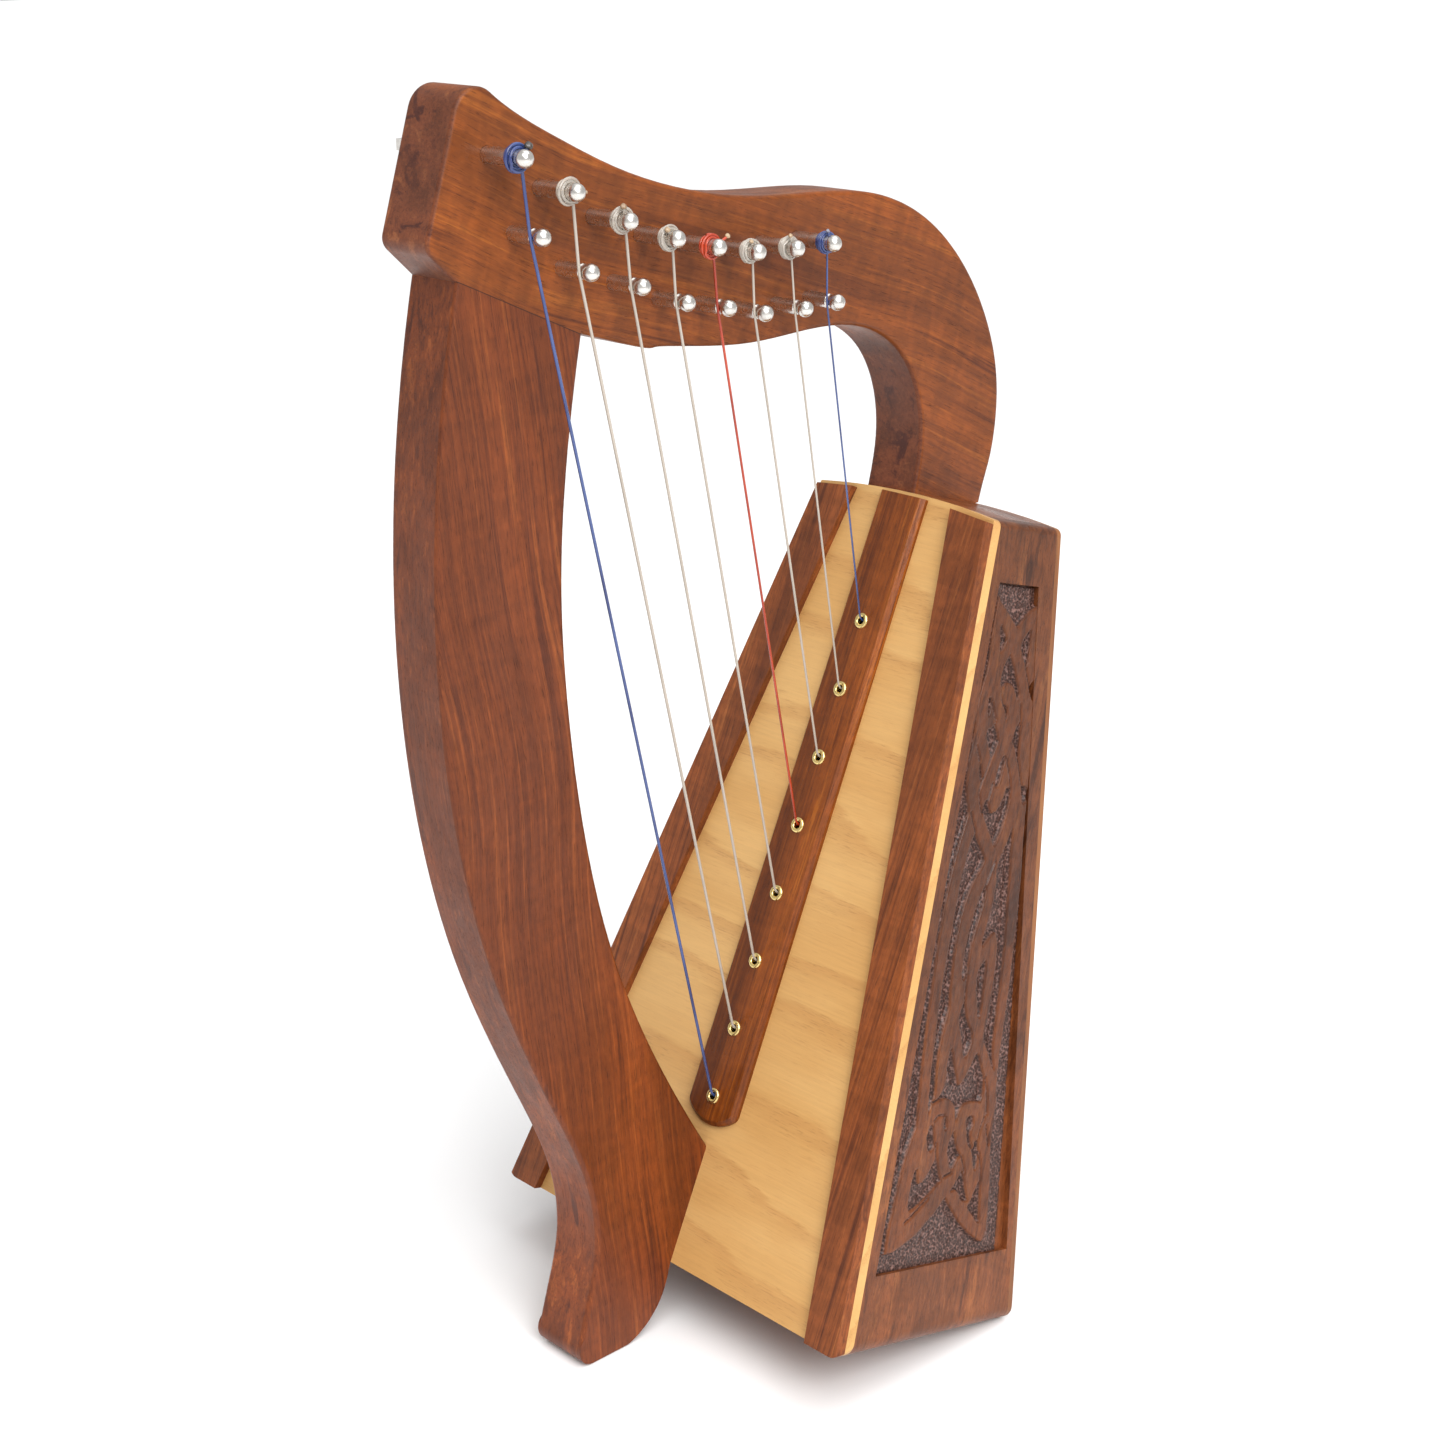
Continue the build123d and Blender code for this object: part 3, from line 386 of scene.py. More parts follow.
# ------------------------------------------------------------------ colours and materials
RED_WALNUT = ((0.088, 0.018, 0.0035), (0.225, 0.054, 0.0070), (0.350, 0.098, 0.0120))
PILLAR_WALNUT = ((0.095, 0.019, 0.0050), (0.215, 0.046, 0.0085), (0.330, 0.082, 0.0150))
DARK_WALNUT = ((0.095, 0.024, 0.0085), (0.240, 0.064, 0.0165), (0.330, 0.102, 0.0270))
PANEL_WALNUT = ((0.085, 0.023, 0.0075), (0.220, 0.063, 0.0180), (0.300, 0.098, 0.0280))
ASH = ((0.44, 0.205, 0.062), (0.595, 0.335, 0.115), (0.655, 0.395, 0.150))
BACK_TONES = ((0.11, 0.035, 0.012), (0.25, 0.090, 0.028), (0.34, 0.140, 0.045))
INNER_TONES = ((0.36, 0.21, 0.10), (0.58, 0.39, 0.21), (0.66, 0.47, 0.28))

joint_normal = UP_BOARD
pillar_points = np.array([v.co for v in nodes["pillar"].data.vertices])
joint_level = float((pillar_points @ np.array(joint_normal)).max()) * 1000
joint_seam = (joint_normal, joint_level)


def by_height(kit, colour, *stops):
    """Multiply by grey levels at heights in metres."""
    level = kit.dot(kit.place, (0, 0, 2))
    return kit.mix(1.0, colour, kit.ramp(level, *((2 * z, v) for z, v in stops), smooth=False), "MULTIPLY")


def end_grain_and_painted_sheen(kit, colour):
    """Partly end grain and partly painted light: the neck's front-facing surfaces cut across the grain, which
    takes the oil darker, and they also carry painted shade and a painted grey-blue sheen.
    """
    facing = kit.dot(kit.tree.nodes.new("ShaderNodeNewGeometry").outputs["Normal"], (0, -1, 0))
    # painted shade and painted grey-blue sheen on the faces turned towards -Y, together with the end grain's
    # darker oil
    return kit.mix(kit.ramp(facing, (0.3, 0.0), (0.75, 1.0)), colour,
                   kit.mix(1.0, colour, (0.66, 0.74, 2.1), "MULTIPLY"))


def pillar_painted_shade(kit, colour):
    """Painted shade: the pillar darkens towards the neck and stays lightest at its foot, as if lit by light
    bounced from the floor.
    """
    return by_height(kit, colour, (0.0, 1.0), (0.12, 0.97), (0.24, 0.9), (0.36, 0.76))


def panel_tint(kit, colour):
    """The side panels are palest at the bottom."""
    return by_height(kit, colour, (0.01, 1.0), (0.06, 0.9), (0.15, 0.66), (0.28, 0.58))


def rib_tint(kit, colour):
    """The rib is dark heartwood on its left and paler on its right."""
    side = kit.math("ADD", kit.dot(kit.place, (1000, 0, 0)),
                    kit.math("MULTIPLY", kit.noise(kit.scaled(kit.place, (40, 14, 14)), 1.0, 3.0), 9.0))
    shade = kit.ramp(kit.math("MULTIPLY_ADD", side, 0.04, 0.35), (0.3, 0.0), (0.6, 1.0))
    return kit.mix(shade, kit.mix(1.0, colour, (0.80, 0.78, 0.82), "MULTIPLY"), colour)


# the neck's front faces get the end grain's darker oil and a painted sheen
neck_wood = walnut(
    "neck_wood", (0, 0.94, -0.34), RED_WALNUT, (3, 8, 1), 0.6, 0.45, 30, streak=0.35, tint=end_grain_and_painted_sheen
)
# the pillar's wood carries painted shade that deepens towards the neck
pillar_wood = walnut(
    "pillar_wood", (0, -0.10, 1), PILLAR_WALNUT, (9, 2, 5), 0.9, 0.25, 26, seam=joint_seam, tint=pillar_painted_shade
)
strip_wood = walnut("strip_wood", UP_BOARD, DARK_WALNUT, (1, 5, 7), 1.0, 0.4, 6, gloss=0.38)
rib_wood = walnut("rib_wood", UP_BOARD, RED_WALNUT, (6, 1, 2), 1.2, 0.3, 5, gloss=0.3, tint=rib_tint)
panel_wood = walnut("panel_wood", UP_BOARD, PANEL_WALNUT, (4, 4, 9), 0.6, 0.4, 18, gloss=0.4, tint=panel_tint)
plate_wood = walnut("plate_wood", (1, 0, 0), PANEL_WALNUT, (7, 3, 3), 0.8, 0.4, 8, gloss=0.3)
board_wood = pale_wood("soundboard_wood", (1, 0, 0), ASH, (2, 2, 6))
back_wood = pale_wood("back_wood", (0, 0.234, 0.972), BACK_TONES, (5, 1, 1))
inner_wood = pale_wood("inner_wood", UP_BOARD, INNER_TONES, (1, 9, 4), 0.6)
dowel_wood = pale_wood("dowel_wood", (0, 0.3, 0.95), INNER_TONES, (8, 3, 2), 0.55)
pin_metal = metal("pin_metal", (0.74, 0.71, 0.67), 0.24, 0.01)
screw_metal = metal("screw_metal", (0.62, 0.62, 0.6), 0.34)
eyelet_metal = metal("eyelet_metal", (0.86, 0.66, 0.27), 0.24, 0.0)
string_looks = {
    "string_clear": nylon("string_clear", (0.47, 0.41, 0.345), (0.42, 0.365, 0.305)),
    "string_blue": nylon("string_blue", (0.060, 0.098, 0.27), (0.025, 0.040, 0.15), 0.05),
    "string_red": nylon("string_red", (0.50, 0.050, 0.012), (0.32, 0.025, 0.007), 0.05),
}
clear_winding = nylon("clear_winding", (0.80, 0.74, 0.66), (0.70, 0.63, 0.55), 0.6)
slot_of = {part["node"]: part["material_slot"] for part in record["subparts"]}
looks = {
    "neck": neck_wood, "pillar": pillar_wood, "soundboard": board_wood, "string_rib": rib_wood,
    "rail_left": strip_wood, "rail_right": strip_wood, "side_panel_left": panel_wood,
    "side_panel_right": panel_wood, "top_plate": plate_wood, "bottom_plate": plate_wood,
    "back_panel": back_wood, "neck_pillar_dowels": dowel_wood, "shoulder_dowels": dowel_wood,
    "pillar_screws": screw_metal, "string_eyelets": eyelet_metal, "bridge_pins": pin_metal,
    "string_anchors": string_looks["string_clear"],
}
for name, obj in nodes.items():
    slot = slot_of[name]
    if name in looks:
        look = looks[name]
    elif slot in string_looks:
        look = string_looks[slot]
    elif slot == "pin_metal":
        look = pin_metal
    else:
        look = inner_wood
    obj.data.materials.clear()
    obj.data.materials.append(look)

# ------------------------------------------------------------------ carved knotwork in the side panels
# Points are (back from the soundboard's face, up the soundboard) in millimetres. Each outline is a
# hollow cut down to the stippled ground; what stays between them is the flat interlaced band.
HOLLOWS = [
    [(6.6, 266.5), (34.8, 270.5), (34.6, 265), (31, 262), (28, 260), (25.3, 257), (22.4, 252.8),
     (19, 255), (15, 257.5), (9.3, 260.4)],
    [(12.5, 252), (13.8, 252.5), (18.4, 248.4), (16.5, 244), (14.8, 242.4), (13.7, 247.5)],
    [(30.2, 255), (31.2, 253), (32.1, 248), (32.4, 243), (31.6, 240), (29.3, 243.2), (26.3, 246.7),
     (26.6, 249.5)],
    [(21, 244), (23.2, 242), (25.5, 239), (28, 235.5), (30.8, 231.8), (29.8, 228), (28, 231.3),
     (25.5, 233.5), (22, 233.8), (20, 231), (18, 233.5), (18.3, 238), (20, 242)],
    [(35, 235.7), (38.3, 238.5), (39.8, 236), (40.6, 231.5), (38, 230.3), (36.2, 232.5)],
    [(23, 226), (24.5, 226.3), (25.8, 224), (25.6, 221), (24.6, 221), (24.2, 223.5), (23, 224.8)],
    [(13, 227), (15.5, 227.3), (16, 224), (15.5, 220.5), (14.2, 220.8), (13.8, 224)],
    [(19.3, 219.3), (21, 217.5), (22.8, 215.2), (23, 213.3), (22.2, 210), (20.8, 207), (19.3, 208.5),
     (17.5, 211), (15.5, 214.3), (15.6, 216.2), (17.8, 217)],
    [(14.4, 204.6), (15.9, 204.2), (18.4, 200), (17.2, 197.6), (15.6, 200)],
    [(33, 222.7), (34.6, 222), (35.2, 217.5), (36, 213), (36.9, 209), (36, 207.8), (34.5, 210.5),
     (32.5, 213.3), (30.5, 214.7), (31.2, 218)],
    [(41, 201.3), (44.8, 201), (46, 196.5), (43.4, 194), (41.5, 197)],
    [(27.3, 209.4), (29.5, 209.3), (29, 206), (28.6, 202), (27.6, 198), (26.2, 197.3), (25.2, 199),
     (25.3, 203), (26.2, 206.5)],
    [(32, 198.7), (34.8, 199), (36, 196), (35.6, 190), (34.5, 185), (33, 181), (31.5, 177.7),
     (30.3, 178.2), (29, 180), (26, 183), (24, 185), (21, 188.2), (20.8, 189.5), (21.6, 192.6),
     (23.6, 193), (24.8, 190.5), (26.5, 188.6), (29, 190), (30.7, 193.3), (31.8, 196)],
    [(19.3, 181.2), (22, 178.2), (25, 175.5), (28, 173), (26.5, 169.5), (24.5, 166), (22.5, 162),
     (21.3, 158), (20.3, 153), (19.8, 148), (19.8, 138), (20.3, 135), (20.8, 130), (21.5, 125),
     (22.6, 121), (21.5, 115), (21.2, 110), (20.9, 105), (21.4, 100), (22.5, 95), (23.2, 90),
     (21.6, 85.5), (21.3, 82), (20.5, 85), (19.5, 90), (19, 94), (18, 100), (17.3, 110), (16.8, 115),
     (16, 122.5), (16, 130), (15.8, 140), (15.8, 158), (16, 165.5), (16.8, 170.5), (17.3, 175.5),
     (18.4, 179.5)],
    [(30.5, 165.2), (31.7, 163.5), (31.7, 159), (31, 155), (29.8, 150), (28.9, 145), (28.6, 139),
     (29, 134), (28.2, 131.3), (26.5, 130), (25.6, 134), (25.2, 140), (25.3, 145), (26, 151),
     (27.3, 156.5), (29.3, 162.5)],
    [(39.8, 186.5), (41.2, 184), (42.3, 176), (43.7, 169), (45.3, 159), (47, 150), (48.5, 140),
     (49.6, 129), (50.6, 118), (51.4, 108.8), (55, 101), (53, 102.3), (49, 107.3), (46, 110.3),
     (44.5, 111.6), (45.2, 121), (45, 130), (44.3, 138), (43, 145), (41, 149), (39, 148), (36, 144.5),
     (34.5, 142.4), (34, 145), (35, 150.5), (36.3, 157), (36.4, 164), (35.2, 170), (36, 175),
     (38, 179.5)],
    [(38.2, 139.2), (39.4, 137), (39.7, 131), (40.3, 125), (41, 118.8), (39.2, 118.6), (38, 122.5),
     (36.3, 126.5), (34.6, 131.5), (34.6, 134.5), (36.5, 137.5)],
    [(30.4, 124.7), (31.8, 121), (34.3, 116.8), (38.3, 113.4), (38.7, 110.5), (37.7, 106.8), (36.3, 104),
     (34.9, 105.2), (33.2, 108.6), (31.1, 112.6), (28.3, 117.3), (29.1, 121.3)],
    [(27.2, 107.8), (28.8, 106), (30.7, 102), (33.5, 97.8), (35.3, 94.6), (37.2, 96.5), (39.2, 100),
     (41, 104), (42.3, 107), (44.1, 106.3), (46.7, 102.5), (49.6, 98.8), (50.4, 94.5), (50, 89.8),
     (46.5, 90), (43, 89.6), (40, 88.7), (38.3, 86.5), (37.6, 82.3), (36.8, 82.1), (36, 85.5),
     (34.5, 88.2), (32, 89.5), (28.5, 89.8), (25.5, 88.8), (23.2, 88), (27.3, 93), (27.5, 98),
     (26.4, 102)],
    [(30.4, 84.3), (31.8, 83.9), (33.1, 80.5), (32.8, 78.9), (31.4, 79), (30.7, 81.5)],
    [(23.8, 80.9), (25.5, 80), (26.6, 77.5), (27.9, 74), (26.8, 71.7), (25.2, 70.9), (23.5, 73),
     (22.2, 76), (22.8, 79)],
    [(37.4, 80.2), (38.6, 77.5), (39.8, 74.8), (42.3, 72.3), (44.5, 70.9), (42.3, 70.2), (41.2, 68),
     (39.8, 65.3), (38.5, 66.2), (36.8, 69.3), (35.2, 72.3), (35.5, 76)],
    [(43.2, 84), (45, 85.4), (47.3, 85), (48.2, 82.5), (47, 79.5), (48.8, 75), (49.4, 73.6), (47.5, 74),
     (45.2, 77), (44.2, 80.5), (43.3, 82.5)],
    [(50.3, 77.1), (52.7, 76.9), (53.8, 73), (54.3, 71), (54, 67.5), (53.2, 65.8), (51.5, 68.5),
     (50, 72), (50, 74.8)],
    [(19.1, 65.2), (20.7, 65.1), (22, 60.3), (24.5, 60.8), (27, 64.5), (29.6, 69.7), (30.6, 69.5),
     (33, 64.5), (35.3, 61.8), (33, 60.5), (30, 57.5), (27, 55), (23.5, 52.2), (19.2, 50), (18.1, 55),
     (18.4, 60.5)],
    [(46, 66.5), (47.7, 64.3), (49.3, 61), (51.2, 58), (52.7, 55.6), (50, 55.2), (48, 55.6), (46.3, 58),
     (44, 59.2), (40.4, 57.6), (41.5, 59.5), (43.5, 62), (45, 65)],
    [(56.8, 63.3), (58.4, 62), (59.3, 57.5), (60.4, 52.5), (61.3, 49), (60.3, 48.1), (57.5, 50.2),
     (54.5, 52), (52.1, 53.8), (53.8, 55.5), (54.8, 58.5)],
    [(39, 56.8), (41, 54.5), (45.5, 51.3), (50, 48), (55, 45.4), (59, 43.7), (64.5, 42), (66, 43),
     (76.5, 37.5), (76.5, 35), (5, 25), (5, 36), (11, 36), (14.5, 36.8), (17, 38), (20.5, 40),
     (25, 42.5), (28, 45), (31, 48), (34, 50.5), (36, 53), (38, 55.5)],
]
LEFT_EDGE = [
    (9.3, 270), (9.3, 260), (9.2, 250), (10, 242), (10.4, 236), (9, 230), (8.3, 224), (8.8, 217),
    (9.6, 212), (9.0, 205), (9.6, 199), (10.2, 195), (12, 190.5), (14.2, 187), (12.4, 179), (11.3, 173),
    (10.3, 163), (9.9, 155), (9.8, 145), (10.2, 138), (10.6, 130), (11.3, 120), (12, 110), (13, 100),
    (14.4, 90), (15.2, 84), (16, 79.5), (14.4, 75), (13, 70), (12.1, 64), (11.6, 58), (11, 50),
    (10.4, 44), (11, 36),
]
RIGHT_EDGE = [
    (34.4, 270), (35, 262), (36.6, 250), (38.2, 240), (39.6, 231), (41, 225), (42.6, 215), (44, 206),
    (44.8, 200), (45.7, 194), (47, 185), (48.4, 178), (50.2, 168), (51.4, 159), (52.5, 150),
    (53.5, 140), (54.7, 130), (55.1, 120), (55.8, 110), (56.4, 101), (58, 95), (59, 89), (59.5, 80),
    (60.2, 74), (62, 69), (63.7, 62), (65.4, 51), (66.5, 45), (64.4, 41.5),
]
CUTS = [
    [(31.6, 240.5), (34, 236.6), (36, 233.5)],
    [(20, 228.8), (21.6, 226.7), (23.4, 225.6)],
    [(16, 225.6), (17.6, 222.6), (19.6, 220.3)],
    [(32, 228), (33.3, 224), (34, 221)],
    [(36.6, 208.8), (38.2, 205.4), (40, 202), (41.6, 199.8)],
    [(11.4, 209.8), (13, 207.6), (14.6, 205)],
    [(22.8, 213.6), (21.3, 208.6), (20.3, 205), (19.3, 201.6), (18.2, 198.5), (17.3, 195), (19, 190.5),
     (21, 188)],
    [(29.7, 208.3), (32, 204.5), (33.8, 201.3), (34.9, 198)],
    [(24.4, 198.8), (23.8, 195.5), (23.4, 192.5)],
    [(15, 187.2), (16.8, 184.6), (19.4, 181)],
    [(31, 164.8), (32.2, 168.5), (33.5, 172.4)],
    [(29, 132.4), (29.4, 129), (30.2, 124.6)],
    [(26.2, 89.6), (24.6, 88.8), (22.6, 88)],
    [(50, 98.6), (51.8, 95.4), (53.4, 91), (54.6, 86.4)],
    [(25.3, 82), (27, 83.9), (30, 84.3)],
    [(44.2, 71), (46.3, 67.9), (47.6, 65.2)],
    [(48.8, 75), (49.4, 73.6), (50.2, 72.6)],
    [(52, 77.4), (52.4, 81.5), (53.5, 85)],
    [(55.5, 82.2), (57, 79), (58.6, 75.8)],
    [(53.8, 73), (55.4, 70.6), (56.8, 67), (57.6, 63)],
    [(28.4, 74.4), (29.2, 71.6), (30.3, 69)],
    [(18.5, 46.8), (21.5, 48.9), (25, 52), (29, 55.6)],
    [(35.8, 63.2), (38, 64.2), (40, 65)],
]
BAND_LEVEL = -0.12            # the bands' surface, out from the panel's face
GROUND_DEPTH = 1.73           # from the bands down to the ground
DENT_DEPTH = 0.42             # of one punch mark in the ground
CUT_DEPTH = 1.1               # of the grooves where one band passes under another
TOOL_MARK = 0.04              # of the gouge's waves on the bands
LOWEST, HIGHEST = -2.33, -0.05
RECESS_FLOOR = -2.38          # the back of the relief, just clear of the recess's floor
PUNCH_COUNT = 5200
PUNCH_RADIUS = 0.75
CUT_HALF_WIDTH = 0.62


def rounded(points, closed=True, rounds=2):
    """Chaikin's corner cutting."""
    pts = np.array(points, float)
    for _ in range(rounds):
        nxt = np.roll(pts, -1, 0) if closed else pts[1:]
        cur = pts if closed else pts[:-1]
        a, b = cur * 0.8 + nxt * 0.2, cur * 0.2 + nxt * 0.8
        new = np.empty((len(a) * 2, 2))
        new[0::2], new[1::2] = a, b
        pts = new if closed else np.vstack([pts[:1], new, pts[-1:]])
    return pts


def segment_distance(p, a, b):
    """How far each point of p is from the segment between a and b."""
    ab = b - a
    t = np.clip(((p - a) @ ab) / max(ab @ ab, 1e-12), 0, 1)
    return np.linalg.norm(p - (a + t[:, None] * ab), axis=1)


def inside(p, poly):
    """Which points of p the closed outline goes round."""
    hit = np.zeros(len(p), bool)
    for a, b in zip(poly, np.roll(poly, -1, 0)):
        crosses = (a[1] > p[:, 1]) != (b[1] > p[:, 1])
        with np.errstate(divide="ignore", invalid="ignore"):
            x = (b[0] - a[0]) * (p[:, 1] - a[1]) / (b[1] - a[1]) + a[0]
        hit ^= crosses & (p[:, 0] < x)
    return hit


def hollow_amount(p, poly, wall=0.75):
    """1 inside the hollow, 0 outside, with a sloping wall just inside its edge."""
    amount = np.zeros(len(p))
    near = ((p > poly.min(0) - 0.1) & (p < poly.max(0) + 0.1)).all(1)
    q = p[near]
    dist = np.full(len(q), FAR)
    for a, b in zip(poly, np.roll(poly, -1, 0)):
        dist = np.minimum(dist, segment_distance(q, a, b))
    t = np.clip(dist / wall, 0, 1)
    amount[near] = np.where(inside(q, poly), t * t * (3 - 2 * t), 0)
    return amount


# the relief is a grid of heights that fills the recess
across_cells, up_cells = ((124, 520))
low_front, low_back = np.array((7.45, 28.55)), np.array((76.05, 37.7))
top_front, top_back = np.array((7.95, 265.65)), np.array((34.65, 269.5))
s = np.linspace(0, 1, across_cells + 1)[None, :, None]
t = np.linspace(0, 1, up_cells + 1)[:, None, None]
grid = (1 - s) * (1 - t) * low_front + s * (1 - t) * low_back + (1 - s) * t * top_front + s * t * top_back
grid = grid.reshape(-1, 2)

ground = np.zeros(len(grid))
for outline in HOLLOWS:
    ground = np.maximum(ground, hollow_amount(grid, rounded(outline)))
left = rounded(LEFT_EDGE, closed=False)
right = rounded(RIGHT_EDGE, closed=False)
left_strip = np.vstack([left, [(0, 30), (0, 275)]])
right_strip = np.vstack([right, [(90, 30), (60, 275)]])
ground = np.maximum(ground, hollow_amount(grid, left_strip, 0.7))
ground = np.maximum(ground, hollow_amount(grid, right_strip, 0.7))
cut = np.zeros(len(grid))
for line in CUTS:
    pts = rounded(line, closed=False)
    dist = np.full(len(grid), FAR)
    for a, b in zip(pts[:-1], pts[1:]):
        dist = np.minimum(dist, segment_distance(grid, a, b))
    cut = np.maximum(cut, np.clip(1 - dist / CUT_HALF_WIDTH, 0, 1))
punches = np.column_stack([rng.uniform(5, 78, PUNCH_COUNT), rng.uniform(26, 272, PUNCH_COUNT)])
cell = {}
for k, (a, b) in enumerate(punches):
    cell.setdefault((int(a // 2), int(b // 2)), []).append(k)
dents = np.zeros(len(grid))
for k, (a, b) in enumerate(grid):
    if ground[k] < 0.5:
        continue
    best = FAR
    for i in (-1, 0, 1):
        for j in (-1, 0, 1):
            for m in cell.get((int(a // 2) + i, int(b // 2) + j), ()):
                best = min(best, hypot(punches[m][0] - a, punches[m][1] - b))
    dents[k] = max(0.0, 1 - best / PUNCH_RADIUS)
tool = TOOL_MARK * np.sin(grid[:, 0] * 1.3 + np.sin(grid[:, 1] * 0.21) * 2) * np.sin(grid[:, 1] * 0.9)
height = BAND_LEVEL - ground * (GROUND_DEPTH + dents * DENT_DEPTH)
height += (tool - cut * CUT_DEPTH) * (1 - ground)
height = np.clip(height, LOWEST, HIGHEST)


def carving(side):
    """The relief in one side panel's recess, closed behind."""
    name = "carving_right" if side > 0 else "carving_left"
    verts = []
    for (depth, v), out in zip(grid, height):
        p = on_side(v, depth, out)
        verts.append((p.x * side, p.y, p.z))
    columns, rows = across_cells + 1, up_cells + 1
    faces = []
    for j in range(up_cells):
        for i in range(across_cells):
            a = j * columns + i
            quad = (a, a + 1, a + 1 + columns, a + columns)
            faces.append(quad if side > 0 else quad[::-1])
    rim = list(range(columns))
    rim += [j * columns + columns - 1 for j in range(1, rows)]
    rim += [(rows - 1) * columns + i for i in range(columns - 2, -1, -1)]
    rim += [j * columns for j in range(rows - 2, 0, -1)]
    base = len(verts)
    for r in rim:
        p = on_side(grid[r][1], grid[r][0], RECESS_FLOOR)
        verts.append((p.x * side, p.y, p.z))
    n = len(rim)
    for k in range(n):
        a, b = rim[k], rim[(k + 1) % n]
        c, d = base + (k + 1) % n, base + k
        faces.append((b, a, d, c) if side > 0 else (a, b, c, d))
    back = tuple(base + k for k in range(n))
    faces.append(back[::-1] if side > 0 else back)
    obj = mesh_object(name, verts, faces)
    mask = obj.data.attributes.new("ground", "FLOAT", "POINT")
    values = np.zeros(len(verts), np.float32)
    # the grooves where one band passes under another take most of the ground's painted shade
    values[:len(grid)] = np.maximum(ground, cut * 0.75)
    values[len(grid):] = 1
    mask.data.foreach_set("value", values)
    obj.data.materials.append(carved_wood)
    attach(obj, "harp_frame")
    return obj


def ground_painted_shade_and_glints(kit, colour):
    """Painted shade and glints: the punched ground, and most of the grooves where one band passes under
    another, are painted nearly black as shade in the hollows, with small painted glints on the punch rims.
    """
    colour = kit.mix(1.0, panel_tint(kit, colour), (0.82, 0.78, 0.72), "MULTIPLY")
    mask = kit.attribute("ground")
    speck = kit.voronoi(kit.scaled(kit.place, (1000, 1000, 1000)), 1.15)
    # painted shade with painted glints: dark punch cells with brighter rims
    shade_and_glints = kit.ramp(
        speck, (0.15, (0.020, 0.009, 0.007)), (0.55, (0.060, 0.026, 0.019)), (0.8, (0.16, 0.085, 0.07))
    )
    # the painted shade's strength varies from place to place
    shade_mottle = kit.noise(kit.scaled(kit.place, (900, 900, 900)), 1.0, 3.0, 0.7)
    shade_and_glints = kit.mix(1.0, shade_and_glints, kit.ramp(shade_mottle, (0.3, 0.7), (0.7, 1.5)), "MULTIPLY")
    return kit.mix(kit.ramp(mask, (0.15, 0.0), (0.6, 1.0)), colour, shade_and_glints)


# the carving's ground and grooves carry painted shade and painted glints
carved_wood = walnut(
    "carved_wood", UP_BOARD, PANEL_WALNUT, (4, 4, 9), 0.6, 0.4, 18, gloss=0.38, tint=ground_painted_shade_and_glints
)
carving(1)
carving(-1)

# ------------------------------------------------------------------ strings and their windings
DIAMETERS = (1.05, 1.0, 0.95, 0.9, 0.85, 0.8, 0.7, 0.65)     # of the strings, in millimetres
PIN_RADIUS = 2.5 * MM
GROOVE_RADIUS = 2.0 * MM
MOUTH_HEIGHT = 3.8 * MM       # of an eyelet's mouth above the soundboard
KNOT_RADIUS = 1.9 * MM
bridges = islands("bridge_pins")
eyelets = islands("string_eyelets")
anchors = islands("string_anchors")


def helix(cy, cz, radius, start, stop, x_start, x_end, count):
    """Points round an axis along X, from one angle and X to another."""
    out = []
    for k in range(count + 1):
        f = k / count
        a = start + (stop - start) * f
        out.append(Vector((x_start + (x_end - x_start) * f, cy + radius * cos(a), cz + radius * sin(a))))
    return out


def rounded_turn(before, corner, after):
    """Nine points of a curve that leaves before towards corner and ends in after."""
    fractions = [k / 8 for k in range(9)]
    return [before * (1 - f) ** 2 + corner * 2 * f * (1 - f) + after * f * f for f in fractions]


TAILS = (                     # (Y, Z) of each clipped end from its pin's axis, its size, in millimetres
    (2.7, 3.3, 1.35), (4.6, -0.4, 0.7), (-1.1, 4.4, 1.05), (-2.7, 2.9, 0.95),
    (5.3, 2.9, 0.9), (-1.5, 3.3, 0.75), (-1.4, 4.1, 0.75), (-1.2, 4.0, 0.7),
)


def winding(number):
    """The turns of string on a tuning pin, with the clipped tail that comes out of them."""
    name = f"string_coil_{number}"
    low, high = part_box(name)
    cy, cz = (low.y + high.y) / 2, (low.z + high.z) / 2
    d = DIAMETERS[number - 1] * MM
    outer = (high.y - low.y) / 2
    points, angle, direction, layer = [], 0.6 * number, 1, 0
    radius = PIN_RADIUS + d * 0.5
    while radius + d * 0.5 < outer + 0.12 * MM:
        room = (high.x - low.x) - d * (1.0 + 0.35 * layer)
        use = room / d
        start_x = (low.x + high.x - direction * room) / 2
        count = max(14, int(use * 24))
        for k in range(count + 1):
            f = k / count
            a = angle + 2 * pi * use * f
            r = radius + 0.05 * MM * sin(a * 2.7 + number)
            x = start_x + direction * room * f
            points.append(Vector((x, cy + r * cos(a), cz + r * sin(a))))
        angle += 2 * pi * use + 0.35
        direction = -direction
        radius += d * 0.88
        layer += 1
    coil = tube(f"winding_{number}", points, [d / 2] * len(points), 12)
    look = clear_winding if slot_of[name] == "string_clear" else string_looks[slot_of[name]]
    coil.data.materials.append(look)
    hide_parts(name)
    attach(coil, f"pin_body_{number}")
    dy, dz, size = TAILS[number - 1]
    away = Vector((0, dy, dz)).normalized()
    base = Vector((high.x + 0.1 * d, cy, cz))
    end = base + Vector((0.5 * MM, dy * MM, dz * MM))
    tail = []
    for k in range(9):
        f = k / 8
        tail.append((base + away * 1.9 * MM).lerp(end, f) + Vector((0.25 * MM * sin(pi * f), 0, 0)))
    stub = tube(f"string_tail_{number}", tail, [d * 0.5] * 9, 12)
    ball = melted_end(f"string_end_{number}", end, size * MM)
    for piece, look in ((stub, look), (ball, end_looks[number - 1])):
        piece.data.materials.append(look)
        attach(piece, f"pin_body_{number}")


